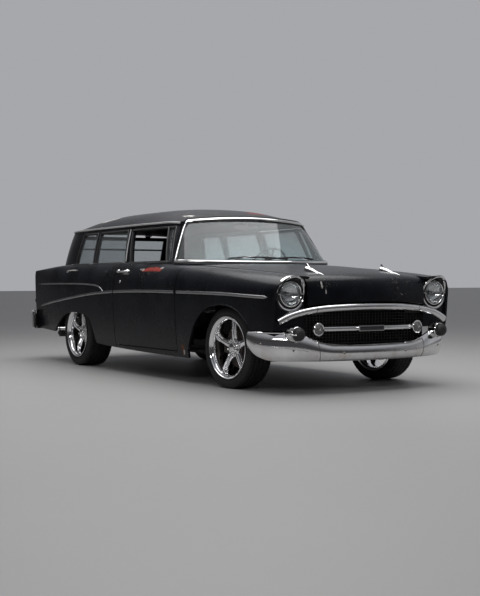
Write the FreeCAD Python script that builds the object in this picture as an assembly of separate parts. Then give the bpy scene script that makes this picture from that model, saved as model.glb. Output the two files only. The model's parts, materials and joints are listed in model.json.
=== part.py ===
import FreeCAD, Part
import math
import os
from FreeCAD import Placement, Rotation, Vector

# A 1950s two-door station wagon, full size, in millimetres.
# The frame has +X forward, +Y to the car's left and +Z up, with its origin on the ground
# under the middle of the car's bounding box.

doc = FreeCAD.newDocument("Wagon")
sheet = doc.addObject("Spreadsheet::Sheet", "Dimensions")

DIMENSIONS = (
    ("overall_length", 5080, "front bumper to rear bumper"),
    ("front_overhang", 850, "front axle to the front bumper's face"),
    ("wheelbase", 2921, "front axle to rear axle"),
    ("half_width", 938, "centre line to the widest point of the doors"),
    ("sill_height", 214, "ground to the rocker's lower edge at the front"),
    ("belt_height", 1030, "ground to the lower edge of the side windows"),
    ("gutter_height", 1384, "ground to the roof's drip rail"),
    ("roof_height", 1552, "ground to the roof's crown"),
    ("roof_half_width", 716, "centre line to the drip rail at the door's rear edge"),
    ("panel", 20, "thickness of a fender with its inner reinforcement"),
    ("door_thickness", 62, "outer skin to trim panel"),
    ("pillar_thickness", 34, "thickness of the window frames and pillars"),
    ("shut_gap", 8, "gap round the doors and lids"),
    ("seat_gap", 0.3, "clearance between pieces that rest on each other"),
    ("door_front", 1000, "door's front edge ahead of the middle of the car"),
    ("door_length", 1215, "front edge to rear edge of a door"),
    ("rocker_top", 268, "ground to the door opening's lower edge"),
    ("hood_rear", 1170, "hood's rear edge ahead of the middle of the car"),
    ("hood_half_width", 590, "centre line to the gap between hood and fender"),
    ("hood_thickness", 24, "hood skin with its inner frame"),
    ("hood_gap", 12, "gap between hood and cowl, where the hood's hinges lie"),
    ("roof_thickness", 30, "roof skin with its headliner"),
    ("front_track", 1474, "between the front tyres' middle planes"),
    ("rear_track", 1480, "between the rear tyres' middle planes"),
    ("front_tyre_radius", 326, "front tyre, outside"),
    ("rear_tyre_radius", 337, "rear tyre, outside"),
    ("front_tyre_width", 225, "front tyre, sidewall to sidewall"),
    ("rear_tyre_width", 265, "rear tyre, sidewall to sidewall"),
    ("rim_radius", 250, "outer lip of the wheel"),
    ("rim_depth", 62, "outer lip to the wheel's mounting face"),
    ("hub_radius", 78, "round hub of the wheel"),
    ("spindle_radius", 24, "stub axle"),
    ("kingpin_inset", 77, "tyre's middle plane to the steering axis"),
    ("steer_at_rest", 4.2, "degrees that the front wheels are turned to the left"),
    ("lamp_height", 758, "ground to the headlamps' centres"),
    ("lamp_half_spacing", 708, "centre line to a headlamp's centre"),
    ("lamp_forward", 704, "front axle to the headlamps' glass"),
    ("lamp_radius", 88, "headlamp glass"),
    ("bezel_radius", 120, "ring round the headlamp"),
    ("bumper_thickness", 16, "front and rear bumper blades"),
    ("bullet_height", 458, "ground to the bumper bullets' centres"),
    ("bullet_half_spacing", 698, "centre line to a bumper bullet"),
    ("bullet_radius", 64, "bumper bullet at its base"),
    ("tip_radius", 48, "rubber tip of a bumper bullet"),
    ("moulding_width", 60, "chrome moulding that arches over the grille"),
    ("mesh_pitch_y", 30, "between the grille mesh's upright bars"),
    ("mesh_pitch_z", 22, "between the grille mesh's level bars"),
    ("mesh_bar", 4, "thickness of the grille mesh's bars"),
    ("parking_half_spacing", 485, "centre line to a parking lamp"),
    ("parking_height", 488, "ground to the parking lamps and the grille bar"),
    ("rail_half_spacing", 395, "centre line to a frame rail"),
    ("rail_height", 110, "frame rail's box section"),
    ("rail_width", 70, "frame rail's box section"),
    ("frame_base", 205, "ground to the lower side of the frame rails"),
    ("floor_height", 318, "ground to the cabin floor's upper side"),
    ("cargo_height", 610, "ground to the load floor's upper side"),
    ("engine_length", 700, "engine block with its covers"),
    ("engine_width", 520, "engine block across its heads"),
    ("radiator_width", 600, "radiator core between its tanks"),
    ("radiator_height", 400, "radiator core with its tanks"),
    ("wheel_radius", 205, "steering wheel, outside"),
    ("wheel_offset", 380, "centre line to the steering column"),
    ("hinge_pin", 3, "radius of the pins in the lids' hinges"),
    ("hinge_barrel", 5.5, "radius of the lids' hinge barrels"),
    ("hinge_length", 60, "barrel of a lid's hinge, end to end"),
    ("door_pin", 6, "radius of the door hinges' pins"),
    ("door_barrel", 11, "radius of the door hinges' barrels"),
)

for row, (alias, value, note) in enumerate(DIMENSIONS, 1):
    sheet.set(f"A{row}", note)
    sheet.set(f"B{row}", str(value))
    sheet.setAlias(f"B{row}", alias)
doc.recompute()


class Sizes:
    # Reads a driving dimension from the sheet by its alias.
    def __getattr__(self, alias):
        return float(sheet.get(alias))


size = Sizes()
front_axle = size.overall_length / 2 - size.front_overhang
rear_axle = front_axle - size.wheelbase
door_rear = size.door_front - size.door_length
nose = size.overall_length / 2
tail = -size.overall_length / 2
body_tail = tail + 130
half_hinge = size.hinge_length / 2
made = []


def keep(label, shape):
    # Puts a finished shape in the document under its node's name.
    feature = doc.addObject("Part::Feature", label)
    feature.Label = label
    feature.Shape = shape
    made.append(feature)
    return feature


def mirrored(shape):
    return shape.mirror(Vector(0, 0, 0), Vector(0, 1, 0))


def fused(shapes):
    shape = shapes[0]
    for other in shapes[1:]:
        shape = shape.fuse(other)
    return shape


def at_stations(x, stations):
    # Smooth curve through (x, value) stations given from front to rear.
    if x >= stations[0][0]:
        return stations[0][1]
    if x <= stations[-1][0]:
        return stations[-1][1]
    slopes = []
    for (xa, va), (xb, vb) in zip(stations, stations[1:]):
        slopes.append((vb - va) / (xb - xa))
    for i, ((xa, va), (xb, vb)) in enumerate(zip(stations, stations[1:])):
        if xb <= x <= xa:
            before = slopes[max(i - 1, 0)]
            after = slopes[min(i + 1, len(slopes) - 1)]
            ma = (before + slopes[i]) / 2
            mb = (after + slopes[i]) / 2
            span = xb - xa
            t = (x - xa) / span
            return (va * (2 * t**3 - 3 * t**2 + 1) + vb * (3 * t**2 - 2 * t**3)
                    + span * ma * (t**3 - 2 * t**2 + t) + span * mb * (t**3 - t**2))
    return stations[-1][1]


def mesh_surface(rows, across=3, along=3):
    # B-spline face over a grid of control points.
    surface = Part.BSplineSurface()
    knots = []
    for count, degree in ((len(rows), along), (len(rows[0]), across)):
        inner = count - degree
        knots.append((list(range(inner + 1)), [degree + 1] + [1] * (inner - 1) + [degree + 1]))
    surface.buildFromPolesMultsKnots(rows, knots[0][1], knots[1][1], knots[0][0], knots[1][0],
                                     False, False, along, across)
    return surface.toShape()


def panel_between(outer, inner):
    # Closed solid between two grids of control points of the same size.
    along = min(3, len(outer) - 1)
    across = min(3, len(outer[0]) - 1)
    faces = [mesh_surface(outer, across, along), mesh_surface(inner, across, along)]
    for a, b in ((outer[0], inner[0]), (outer[-1], inner[-1])):
        faces.append(mesh_surface([a, b], across, 1))
    for j in (0, -1):
        edge = [[row[j] for row in outer], [row[j] for row in inner]]
        faces.append(mesh_surface(edge, along, 1))
    shell = Part.makeShell(faces)
    shell.sewShape()
    solid = Part.makeSolid(shell)
    if solid.Volume < 0:
        solid.reverse()
    return solid


def inward(rows, thickness):
    # The same grid moved along its own normals, by one thickness or by one for each column.
    moved = []
    last = len(rows) - 1
    for i, row in enumerate(rows):
        new_row = []
        for j, point in enumerate(row):
            du = rows[min(i + 1, last)][j] - rows[max(i - 1, 0)][j]
            dv = row[min(j + 1, len(row) - 1)] - row[max(j - 1, 0)]
            normal = du.cross(dv)
            normal.normalize()
            depth = thickness[j] if isinstance(thickness, (list, tuple)) else thickness
            new_row.append(point + normal * depth)
        moved.append(new_row)
    return moved


def prism(points, axis, low, high):
    # Prism over an outline in the plane square to an axis. Each point has the other two values.
    def place(a, b):
        return {"x": Vector(low, a, b), "y": Vector(a, low, b), "z": Vector(a, b, low)}[axis]
    direction = {"x": Vector(1, 0, 0), "y": Vector(0, 1, 0), "z": Vector(0, 0, 1)}[axis]
    corners = [place(a, b) for a, b in points]
    corners.append(corners[0])
    face = Part.Face(Part.makePolygon(corners))
    return face.extrude(direction * (high - low))


def arched_prism(curve_points, closing, low, high):
    # Prism along Y whose outline is a smooth curve closed by straight lines.
    curve = Part.BSplineCurve()
    curve.interpolate([Vector(x, low, z) for x, z in curve_points])
    corners = [curve_points[-1]] + list(closing) + [curve_points[0]]
    edges = [curve.toShape()]
    for (xa, za), (xb, zb) in zip(corners, corners[1:]):
        edges.append(Part.makeLine(Vector(xa, low, za), Vector(xb, low, zb)))
    return Part.Face(Part.Wire(edges)).extrude(Vector(0, high - low, 0))


def pin_hinge(centre, direction, pin, barrel, length):
    # The fixed half has a pin with a lug at each end. The barrel of the other half turns on it.
    start = centre - direction * (length / 2)
    tube = Part.makeCylinder(barrel, length, start, direction)
    tube = tube.cut(Part.makeCylinder(pin + size.seat_gap, length, start, direction))
    lug = barrel * 1.2
    fixed = Part.makeCylinder(pin, length + 2 * lug, start - direction * lug, direction)
    for near in (start - direction * lug, start + direction * (length + size.seat_gap)):
        fixed = fixed.fuse(Part.makeCylinder(barrel, lug - size.seat_gap, near, direction))
    return fixed, tube


def lid_hinge(axis, y):
    # Pin with its lugs, barrel, and the bore that the lid's own tab needs, at (x, z) and y.
    start = Vector(axis[0], y - half_hinge, axis[1])
    across = Vector(0, 1, 0)
    fixed, tube = pin_hinge(Vector(axis[0], y, axis[1]), across, size.hinge_pin, size.hinge_barrel,
                            size.hinge_length)
    return fixed, tube, Part.makeCylinder(size.hinge_pin + size.seat_gap, size.hinge_length, start, across)


def beside_hinge(y):
    # Spans along Y of the two straps that hold the ends of a lid hinge's pin.
    reach = half_hinge + size.hinge_barrel * 1.2
    near = half_hinge + size.seat_gap
    return (y - reach, y - near), (y + near, y + reach)


def block(low, high):
    return Part.makeBox(high[0] - low[0], high[1] - low[1], high[2] - low[2], Vector(*low))


def turned(profile, centre, axis):
    # Solid of revolution: profile points are (distance along the axis, radius).
    points = [Vector(a, 0, r) for a, r in profile]
    points.append(points[0])
    solid = Part.Face(Part.makePolygon(points)).revolve(Vector(0, 0, 0), Vector(1, 0, 0), 360)
    turn = Rotation(Vector(1, 0, 0), Vector(*axis))
    solid.Placement = Placement(Vector(*centre), turn)
    return solid


# Body side: crown height, half-widths and sill along the car.

door_front = size.door_front
belt = size.belt_height
wide = size.half_width
sill = size.sill_height
gap = size.shut_gap
seat = size.seat_gap
lamp_x = front_axle + size.lamp_forward
visor = lamp_x + 72
gutter = size.gutter_height

CROWN = ((visor, belt - 139), (lamp_x, belt - 136), (2200, belt - 116), (1900, belt - 94),
         (1500, belt - 68), (door_front, belt - 42), (840, belt - 34), (700, belt - 26), (500, belt - 14),
         (300, belt - 6), (-500, belt + 2), (-1400, belt + 6), (-1800, belt - 8), (-2100, belt - 29),
         (body_tail, belt - 50))
CROWN_HALF = ((visor, wide - 238), (lamp_x, wide - 230), (2200, wide - 203), (1900, wide - 173),
              (1500, wide - 143), (door_front, wide - 128), (400, wide - 116), (-500, wide - 114),
              (-1400, wide - 118), (-1800, wide - 103), (-2100, wide - 93), (body_tail, wide - 92))
WAIST_HALF = ((visor, wide - 93), (lamp_x, wide - 76), (2200, wide - 45), (1900, wide - 23),
              (1500, wide - 10), (door_front, wide - 2), (400, wide), (-500, wide), (-1400, wide - 6),
              (-1900, wide - 33), (body_tail, wide - 78))
WAIST = ((visor, belt - 270), (1900, belt - 270), (door_front, belt - 250), (0, belt - 240),
         (-1400, belt - 240), (-1900, belt - 180), (body_tail, belt - 130))
SILL = ((1700, sill), (door_front, sill), (-400, sill + 26), (-1900, sill + 118), (body_tail, sill + 132))
hood_edge = size.hood_half_width + gap
INNER = ((visor, hood_edge - 20), (2200, hood_edge - 8), (1900, hood_edge + 2), (1500, hood_edge + 12),
         (size.hood_rear, hood_edge + 62), (door_front, hood_edge + 122), (700, hood_edge + 147),
         (400, wide - 175), (-1500, wide - 175), (-2000, wide - 262), (body_tail, wide - 270))


def side_section(x):
    # Control points (y, z) of the body side from its upper inner edge down to the sill.
    crown = at_stations(x, CROWN)
    crown_half = at_stations(x, CROWN_HALF)
    waist_half = at_stations(x, WAIST_HALF)
    waist = at_stations(x, WAIST)
    low = at_stations(x, SILL)
    inner = at_stations(x, INNER)
    points = [(inner, crown - 6), ((inner + crown_half) / 2, crown + 3)]
    for degrees in (0, 25, 50, 72):
        angle = math.radians(degrees)
        points.append((crown_half + (waist_half - crown_half) * math.sin(angle),
                       waist + (crown - waist) * math.cos(angle)))
    for share, tuck in ((0.0, 0), (0.25, 2), (0.5, 7), (0.72, 15), (0.88, 25), (1.0, 40)):
        points.append((waist_half - tuck, waist + (low - waist) * share))
    return points


SIDE_STATIONS = (visor, visor - 40, lamp_x - 40, 2220, 2000, 1750, 1500, 1250, door_front, 750, 500,
                 200, -150, -500, -900, -1250, -1600, -1850, -2050, -2230, body_tail)

outer_side = []
for x in SIDE_STATIONS:
    outer_side.append([Vector(x, y, z) for y, z in side_section(x)])
thin_side = panel_between(outer_side, inward(outer_side, size.panel))
door_depths = [size.door_thickness * share for share in (0.5, 0.5, 0.5, 0.62, 0.8, 0.95, 1, 1, 1, 1, 1, 1)]
thick_side = panel_between(outer_side, inward(outer_side, door_depths))

# Greenhouse: the sloping wall of pillars and window frames between belt and drip rail.

GUTTER_HALF = ((640, 655), (450, 682), (200, 702), (-200, 716), (-800, 714), (-1300, 700),
               (-1600, 672), (-1800, 632), (-1900, 596))
BELT_HALF = ((900, 780), (640, 796), (400, 802), (-500, 804), (-1300, 795), (-1600, 775),
             (-1850, 735), (-2000, 690), (-2060, 655))
roof_shift = size.roof_half_width - 716
house_front_top, house_rear_top = 604, -1880
house_front_belt, house_rear_belt = 714, -2060
house_low = belt - 34


def house_rows(depth=0):
    rows = []
    for i in range(17):
        share = i / 16
        x_top = house_front_top + (house_rear_top - house_front_top) * share
        x_belt = house_front_belt + (house_rear_belt - house_front_belt) * share
        half_top = at_stations(x_top, GUTTER_HALF) + roof_shift
        half_belt = at_stations(x_belt, BELT_HALF)
        row = []
        for part_up, bulge in ((0, 0), (0.33, 12), (0.66, 16), (1.0, 0)):
            x = x_belt + (x_top - x_belt) * part_up
            y = half_belt + (half_top - half_belt) * part_up + bulge
            row.append(Vector(x, y, house_low + (gutter - house_low) * part_up))
        rows.append(row)
    return inward(rows, -depth) if depth else rows


house_wall = panel_between(house_rows(), house_rows(size.pillar_thickness))
glass_sheet = panel_between(house_rows(14), house_rows(19))


def outline(points):
    return prism(points, "y", 300, 1100)


# Front fenders.

arch_top = 665
fender_bottom = 480
front_arch = arched_prism(((front_axle - 515, 283), (front_axle - 455, 390), (front_axle - 361, 520),
                           (front_axle - 190, 632), (front_axle + 42, arch_top), (front_axle + 245, 632),
                           (front_axle + 384, 543), (front_axle + 427, fender_bottom - 2)),
                          ((front_axle + 427, 100), (front_axle - 535, 100)), 300, 1100)
fender_area = outline(((door_front, 100), (door_front, 1100), (visor + 20, 1100), (visor, belt - 145),
                       (lamp_x + 22, size.lamp_height + 60), (lamp_x + 2, size.lamp_height - 50),
                       (lamp_x - 10, 560), (lamp_x - 25, fender_bottom), (front_axle + 424, fender_bottom),
                       (front_axle + 424, 100)))
fender = thin_side.common(fender_area).cut(front_arch)
cap_x = lamp_x - 40
cap_points = []
for y, z in side_section(cap_x):
    if z > fender_bottom + 10:
        towards = Vector(0, 660 - y, 700 - z)
        towards.normalize()
        inset = Vector(cap_x, y, z) + towards * size.panel * 0.6
        cap_points.append((inset.y, inset.z))
cap_inner = hood_edge - 10
cap_points.append((cap_points[-1][0], fender_bottom + 4))
cap_points.append((cap_inner, fender_bottom + 4))
cap_points[0] = (cap_inner, cap_points[0][1])
cap_room = prism(cap_points, "x", cap_x - 120, cap_x + 120)


def cap_rows(depth):
    rows = []
    for z in (fender_bottom, 600, 740, 900):
        row = []
        for i in range(6):
            y = cap_inner + (wide - cap_inner) * i / 5
            row.append(Vector(lamp_x + 8 - 62 * (i / 5) ** 2.2 - depth, y, z))
        rows.append(row)
    return rows


cap = panel_between(cap_rows(0), cap_rows(14)).common(cap_room)
lamp_at = (lamp_x, size.lamp_half_spacing, size.lamp_height)
lamp_hole = turned(((-90, 0), (60, 0), (60, size.bezel_radius + seat), (-90, size.bezel_radius + seat)),
                   lamp_at, (1, 0, 0))
pod = turned(((-70, size.bezel_radius - 4), (-70, size.bezel_radius + 8), (4, size.bezel_radius + 8),
              (4, size.bezel_radius - 4)), lamp_at, (1, 0, 0))
flange = prism(((2180, belt - 122), (visor - 60, belt - 146), (lamp_x + 2, 690), (2180, 690)), "y",
               cap_inner, cap_inner + 12)
fender = fused([fender, cap, pod, flange]).cut(lamp_hole)
fender = max(fender.Solids, key=lambda solid: solid.Volume)
keep("fender_left", fender)
keep("fender_right", mirrored(fender))

# Headlamps: bowl, ring and domed glass, one solid on each side.

ring = size.bezel_radius
glass = size.lamp_radius
lamp = turned(((-62, 0), (-62, 66), (-30, ring - 14), (-24, ring), (2, ring), (16, ring - 10),
               (10, glass + 8), (6, glass), (16, glass * 0.75), (24, glass * 0.4), (27, 0)),
              lamp_at, (1, 0, 0))
keep("headlamps", Part.makeCompound([lamp, mirrored(lamp)]))

# Hood.


def hood_half(x):
    return at_stations(x, INNER) - gap


HOOD_PROFILE = ((size.hood_rear, belt - 26, size.hood_rear, belt - 50),
                (1350, belt - 29, 1350, belt - 60), (1600, belt - 38, 1600, belt - 78),
                (1850, belt - 54, 1850, belt - 94), (2080, belt - 74, 2080, belt - 111),
                (2250, belt - 96, 2240, belt - 126), (2370, belt - 118, 2350, belt - 138),
                (2450, belt - 150, 2408, belt - 165), (2484, belt - 215, 2428, belt - 220),
                (2490, belt - 290, 2432, belt - 290), (2488, belt - 336, 2432, belt - 362))
hood_rows = []
for x_mid, z_mid, x_edge, z_edge in HOOD_PROFILE:
    row = []
    for i in range(13):
        share = -1 + i / 6
        x = x_mid + (x_edge - x_mid) * share**2
        z = z_mid + (z_edge - z_mid) * abs(share) ** 2.5
        row.append(Vector(x, hood_half(x) * share, z))
    hood_rows.append(row)
hood = panel_between(hood_rows, inward(hood_rows, -size.hood_thickness))
hood_axis = (size.hood_rear - size.hood_gap / 2, belt - 37)
hood_pins = []
for y in (-300, 300):
    fixed, tube, bore = lid_hinge(hood_axis, y)
    tab = block((hood_axis[0], y - half_hinge, hood_axis[1] - size.hinge_barrel),
                (size.hood_rear + 4, y + half_hinge, hood_axis[1] + size.hinge_barrel - 2))
    hood = hood.fuse(tube).fuse(tab.cut(bore))
    hood_pins.append((y, fixed))
keep("hood", hood)

# Two rocket ornaments on the hood, each on its own low spear.

rocket_y = 374
rocket_tip = (front_axle + 628, rocket_y, 902)
rocket_tail = (front_axle + 440, rocket_y, 952)
rocket_length = math.dist(rocket_tip, rocket_tail)
rocket_axis = Vector(*rocket_tip) - Vector(*rocket_tail)
rocket = turned(((0, 0), (0, 12), (20, 20), (70, 22), (130, 16), (rocket_length - 12, 8),
                 (rocket_length, 0)), rocket_tail, rocket_axis)
foot = prism(((rocket_tail[0] + 8, rocket_tail[2] - 2), (rocket_tip[0] - 50, rocket_tip[2] + 8),
              (rocket_tip[0] - 60, 830), (rocket_tail[0] + 20, 850)), "y", rocket_y - 6, rocket_y + 6)
rocket = rocket.fuse(foot).cut(hood)
rocket = max(rocket.Solids, key=lambda solid: solid.BoundBox.ZMax)
keep("hood_ornaments", Part.makeCompound([rocket, mirrored(rocket)]))

# Windshield: wrap-round sheet given by its lower and upper edges, with its frame round it.

SHIELD_LOW = ((front_axle - 640, 0, belt - 22), (front_axle - 964, 806, belt - 12))
SHIELD_TOP = ((front_axle - 975, 0, gutter + 54), (front_axle - 1074, 616, gutter + 18))


def shield_edge(ends, angle, power):
    (x_mid, _, z_mid), (x_end, y_end, z_end) = ends
    lateral = math.copysign(abs(math.sin(angle)) ** (2 / power), math.sin(angle))
    forward = max(math.cos(angle), 0) ** (2 / power)
    return Vector(x_end + (x_mid - x_end) * forward, y_end * lateral,
                  z_end + (z_mid - z_end) * (1 - abs(lateral) ** 2))


def shield_rows(u_low, u_high, v_low, v_high, count=13, depth=0.0):
    rows = []
    for i in range(count):
        u = u_low + (u_high - u_low) * i / (count - 1)
        angle = u * math.pi / 2
        low = shield_edge(SHIELD_LOW, angle, 2.5)
        top = shield_edge(SHIELD_TOP, angle, 2.3)
        row = []
        for j in range(4):
            v = v_low + (v_high - v_low) * j / 3
            point = low + (top - low) * v
            outward = Vector(math.cos(angle) * 0.8, math.sin(angle), 0.55 * math.cos(angle))
            outward.normalize()
            row.append(point + outward * (26 * v * (1 - v) - depth))
        rows.append(row)
    return rows


def shield_panel(u_low, u_high, v_low, v_high, near, far, count=13):
    return panel_between(shield_rows(u_low, u_high, v_low, v_high, count, near),
                         shield_rows(u_low, u_high, v_low, v_high, count, far))


post = 0.05
frame_parts = [shield_panel(-1, 1, -0.03, post, 0, 26, 19),
               shield_panel(-1, 1, 1 - post, 1.03, 0, 26, 19),
               shield_panel(-1, -1 + post, -0.03, 1.03, 0, 26, 5),
               shield_panel(1 - post, 1, -0.03, 1.03, 0, 26, 5)]
windshield = shield_panel(-1 + post * 1.02, 1 - post * 1.02, post * 1.03, 1 - post * 1.03, 9, 15, 19)

# Cowl: the panel between hood and windshield, with the windshield frame on it.

cowl_rows = []
for i in range(5):
    row = []
    for j in range(13):
        share = -1 + j / 6
        edge = shield_edge(SHIELD_LOW, math.asin(max(-1, min(1, share))), 2.5)
        x_front = size.hood_rear - size.hood_gap
        x = x_front + (edge.x - 24 - x_front) * i / 4
        y = (at_stations(x, INNER) - gap) * share
        z_front = belt - 26 - 24 * abs(share) ** 2.5
        z = z_front + (edge.z - 4 - z_front) * (i / 4) * (1 - 0.4 * abs(share) ** 4)
        row.append(Vector(x, y, z))
    cowl_rows.append(row)
cowl = panel_between(cowl_rows, inward(cowl_rows, 18))
cowl = fused([cowl] + frame_parts)
for y, fixed in hood_pins:
    for y_low, y_high in beside_hinge(y):
        strap = block((size.hood_rear - size.hood_gap - 5, y_low, hood_axis[1] - size.hinge_barrel + 1),
                      (hood_axis[0], y_high, hood_axis[1] + size.hinge_barrel - 2))
        cowl = cowl.fuse(strap)
    cowl = cowl.fuse(fixed)

# Hinge pillars ahead of the doors, each with two curved hinge arms.

door_axis = (932, 916)
door_corner = 190
pillar_front = door_front + 4
pillar_half = 858
door_hinges = ((size.rocker_top + 232, size.rocker_top + 292), (belt - 260, belt - 200))
pillar = block((pillar_front, 790, size.floor_height + seat), (pillar_front + 60, pillar_half, 905))
pillar = fused([pillar, block((pillar_front, 674, 885), (pillar_front + 60, 800, 905)),
                block((pillar_front, 674, 885), (pillar_front + 60, 686, 974))])
door_pins = []
door_pockets = []
pin_x, pin_y = door_axis
for z_low, z_high in door_hinges:
    tall = z_high - z_low
    barrel = Part.makeCylinder(size.door_barrel, tall - 10, Vector(pin_x, pin_y, z_low + 5))
    level_leaf = block((pin_x - 4, pillar_half - 8, z_low + 5), (pillar_front + 2, pillar_half, z_high - 5))
    outward_leaf = block((pin_x - 4, pillar_half - 8, z_low + 5), (pin_x + 4, pin_y, z_high - 5))
    arm = fused([barrel, level_leaf, outward_leaf])
    arm = arm.cut(Part.makeCylinder(size.door_pin + seat, tall, Vector(pin_x, pin_y, z_low)))
    pillar = pillar.fuse(arm)
    door_pins.append(Part.makeCylinder(size.door_pin, tall + 12, Vector(pin_x, pin_y, z_low - 6)))
    door_pockets.append(block((pin_x - 18, 700, z_low), (door_front, pin_y + 12.5, z_high)))
cowl = fused([cowl, pillar, mirrored(pillar)])
keep("cowl", cowl)

# Roof with its side rails, a thick shell from header to tail.

crown_top = size.roof_height
CROWN_LINE = ((0.0, gutter + 62), (0.08, crown_top - 54), (0.16, crown_top - 24), (0.25, crown_top - 9),
              (0.5, crown_top), (0.75, crown_top - 11), (0.9, crown_top - 62), (1.0, gutter + 16))
roof_rows = []
for i in range(15):
    along = i / 14
    crown = at_stations(-along, tuple((-a, z) for a, z in CROWN_LINE))
    row = []
    for j in range(15):
        share = math.sin((-1 + j / 7) * math.pi / 2)
        header = shield_edge(SHIELD_TOP, share * math.pi / 2, 2.3)
        x_rear = -1895 - 22 * (1 - share**2)
        x = header.x - 8 + (x_rear - header.x + 8) * along
        half = at_stations(x, GUTTER_HALF) + roof_shift + 4
        row.append(Vector(x, half * share, crown + (gutter - crown) * abs(share) ** 3.2))
    roof_rows.append(row)
roof_shell = panel_between(roof_rows, inward(roof_rows, size.roof_thickness))
rail_low = 1360
rail = house_wall.common(outline(((700, rail_low), (700, 1420), (-2200, 1420), (-2200, rail_low))))
roof = fused([roof_shell, rail, mirrored(rail)]).cut(fused(frame_parts))
roof = max(roof.Solids, key=lambda solid: solid.Volume)
gate_axis = (-1923, gutter - 19)
gate_hinge_y = 300
for y in (-gate_hinge_y, gate_hinge_y):
    fixed = lid_hinge(gate_axis, y)[0]
    for y_low, y_high in beside_hinge(y):
        strap = block((gate_axis[0], y_low, gate_axis[1] - 4), (-1900, y_high, gate_axis[1] + 4))
        roof = roof.fuse(strap)
    roof = roof.fuse(fixed)
keep("roof", roof)

# Side windows: outlines in side view, sloping with the pillars.

glass_low = belt + 6
glass_top = 1334


def window(front_low, front_top, rear_top, rear_low, inset=0.0):
    return outline(((front_low - inset, glass_low + inset), (front_top - inset, glass_top - inset),
                    (rear_top + inset, glass_top - inset), (rear_low + inset, glass_low + inset)))


VENT = (664, 572, 470, 586)
DOOR_WINDOW = (570, 452, -196, -116)
QUARTER_WINDOW = (-240, -300, -930, -925)
REAR_WINDOW = (-985, -1000, -1372, -1440)

# Doors: thick lower shell, window frame above it, vent bar.

door_shut_top = -235
door_area = outline(((door_front - gap, size.rocker_top), (door_front - gap, belt + 30),
                     (door_rear, belt + 30), (door_rear, size.rocker_top)))
frame_area = outline(((716, house_low + 2), (596, rail_low - gap), (door_shut_top, rail_low - gap),
                      (door_rear, belt + 30), (door_rear, house_low + 2)))
door = thick_side.common(door_area)
door_frame = house_wall.common(frame_area)
for name in (VENT, DOOR_WINDOW):
    door_frame = door_frame.cut(window(*name))
    door = door.cut(window(*name))
door = door.fuse(door_frame)
door = door.cut(fused(door_pockets)).fuse(fused(door_pins))
corner = block((door_axis[0], 600, 930), (door_front, door_axis[1], belt + 10))
corner = corner.cut(Part.makeCylinder(door_corner, 200, Vector(door_axis[0], door_axis[1], 900)))
door = door.cut(corner)
keep("door_left", door)
keep("door_right", mirrored(door))

vent_pane = glass_sheet.common(window(*VENT, seat))
window_pane = glass_sheet.common(window(*DOOR_WINDOW, seat))
keep("door_glass_left", Part.makeCompound([vent_pane, window_pane]))
keep("door_glass_right", mirrored(vent_pane))

# Quarter panels with rocker, rear wheel arch, pillars and window frames.

rear_arch = arched_prism(((rear_axle + 560, 225), (rear_axle + 500, 400), (rear_axle + 444, 480),
                          (rear_axle + 250, 532), (rear_axle + 21, 545), (rear_axle - 200, 512),
                          (rear_axle - 391, 431), (rear_axle - 583, 325)),
                         ((rear_axle - 583, 100), (rear_axle + 560, 100)), 300, 1100)
quarter_area = outline(((door_front - seat, 100), (door_front - seat, size.rocker_top - gap),
                        (door_rear - gap, size.rocker_top - gap), (door_rear - gap, 1100),
                        (body_tail - 10, 1100), (body_tail - 10, 100)))
quarter = thin_side.common(quarter_area).cut(rear_arch)
pillar_area = outline(((door_rear - gap, house_low + 2), (door_rear - gap, belt + 30),
                       (door_shut_top - gap, rail_low - seat), (-2200, rail_low - seat),
                       (-2200, house_low + 2)))
pillars = house_wall.common(pillar_area)
for name in (QUARTER_WINDOW, REAR_WINDOW):
    pillars = pillars.cut(window(*name))
    quarter = quarter.cut(window(*name))
quarter = quarter.fuse(pillars).cut(roof)
keep("quarter_left", quarter)
keep("quarter_right", mirrored(quarter))

panes = [glass_sheet.common(window(*QUARTER_WINDOW, seat)), glass_sheet.common(window(*REAR_WINDOW, seat))]
keep("fixed_glass", Part.makeCompound([windshield] + panes + [mirrored(pane) for pane in panes]))

# Liftgate and tailgate, each a curved panel across the tail.

lift_top = gutter - 36
lift_low = belt - 22
GATE_TOP = (-1905, 550, lift_top)
GATE_LOW = (-2085, 598, lift_low)


def gate_rows(s_low, s_high, v_low, v_high, depth):
    rows = []
    for i in range(9):
        share = s_low + (s_high - s_low) * i / 8
        row = []
        for j in range(4):
            v = v_low + (v_high - v_low) * j / 3
            x_end = GATE_LOW[0] + (GATE_TOP[0] - GATE_LOW[0]) * v
            half = GATE_LOW[1] + (GATE_TOP[1] - GATE_LOW[1]) * v
            bow = (72 + (20 - 72) * v) * (1 - share**2)
            z = GATE_LOW[2] + (GATE_TOP[2] - GATE_LOW[2]) * v
            row.append(Vector(x_end - bow + depth, half * share, z))
        rows.append(row)
    return rows


def gate_panel(s_low, s_high, v_low, v_high, near, far):
    return panel_between(gate_rows(s_low, s_high, v_low, v_high, near),
                         gate_rows(s_low, s_high, v_low, v_high, far))


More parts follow.
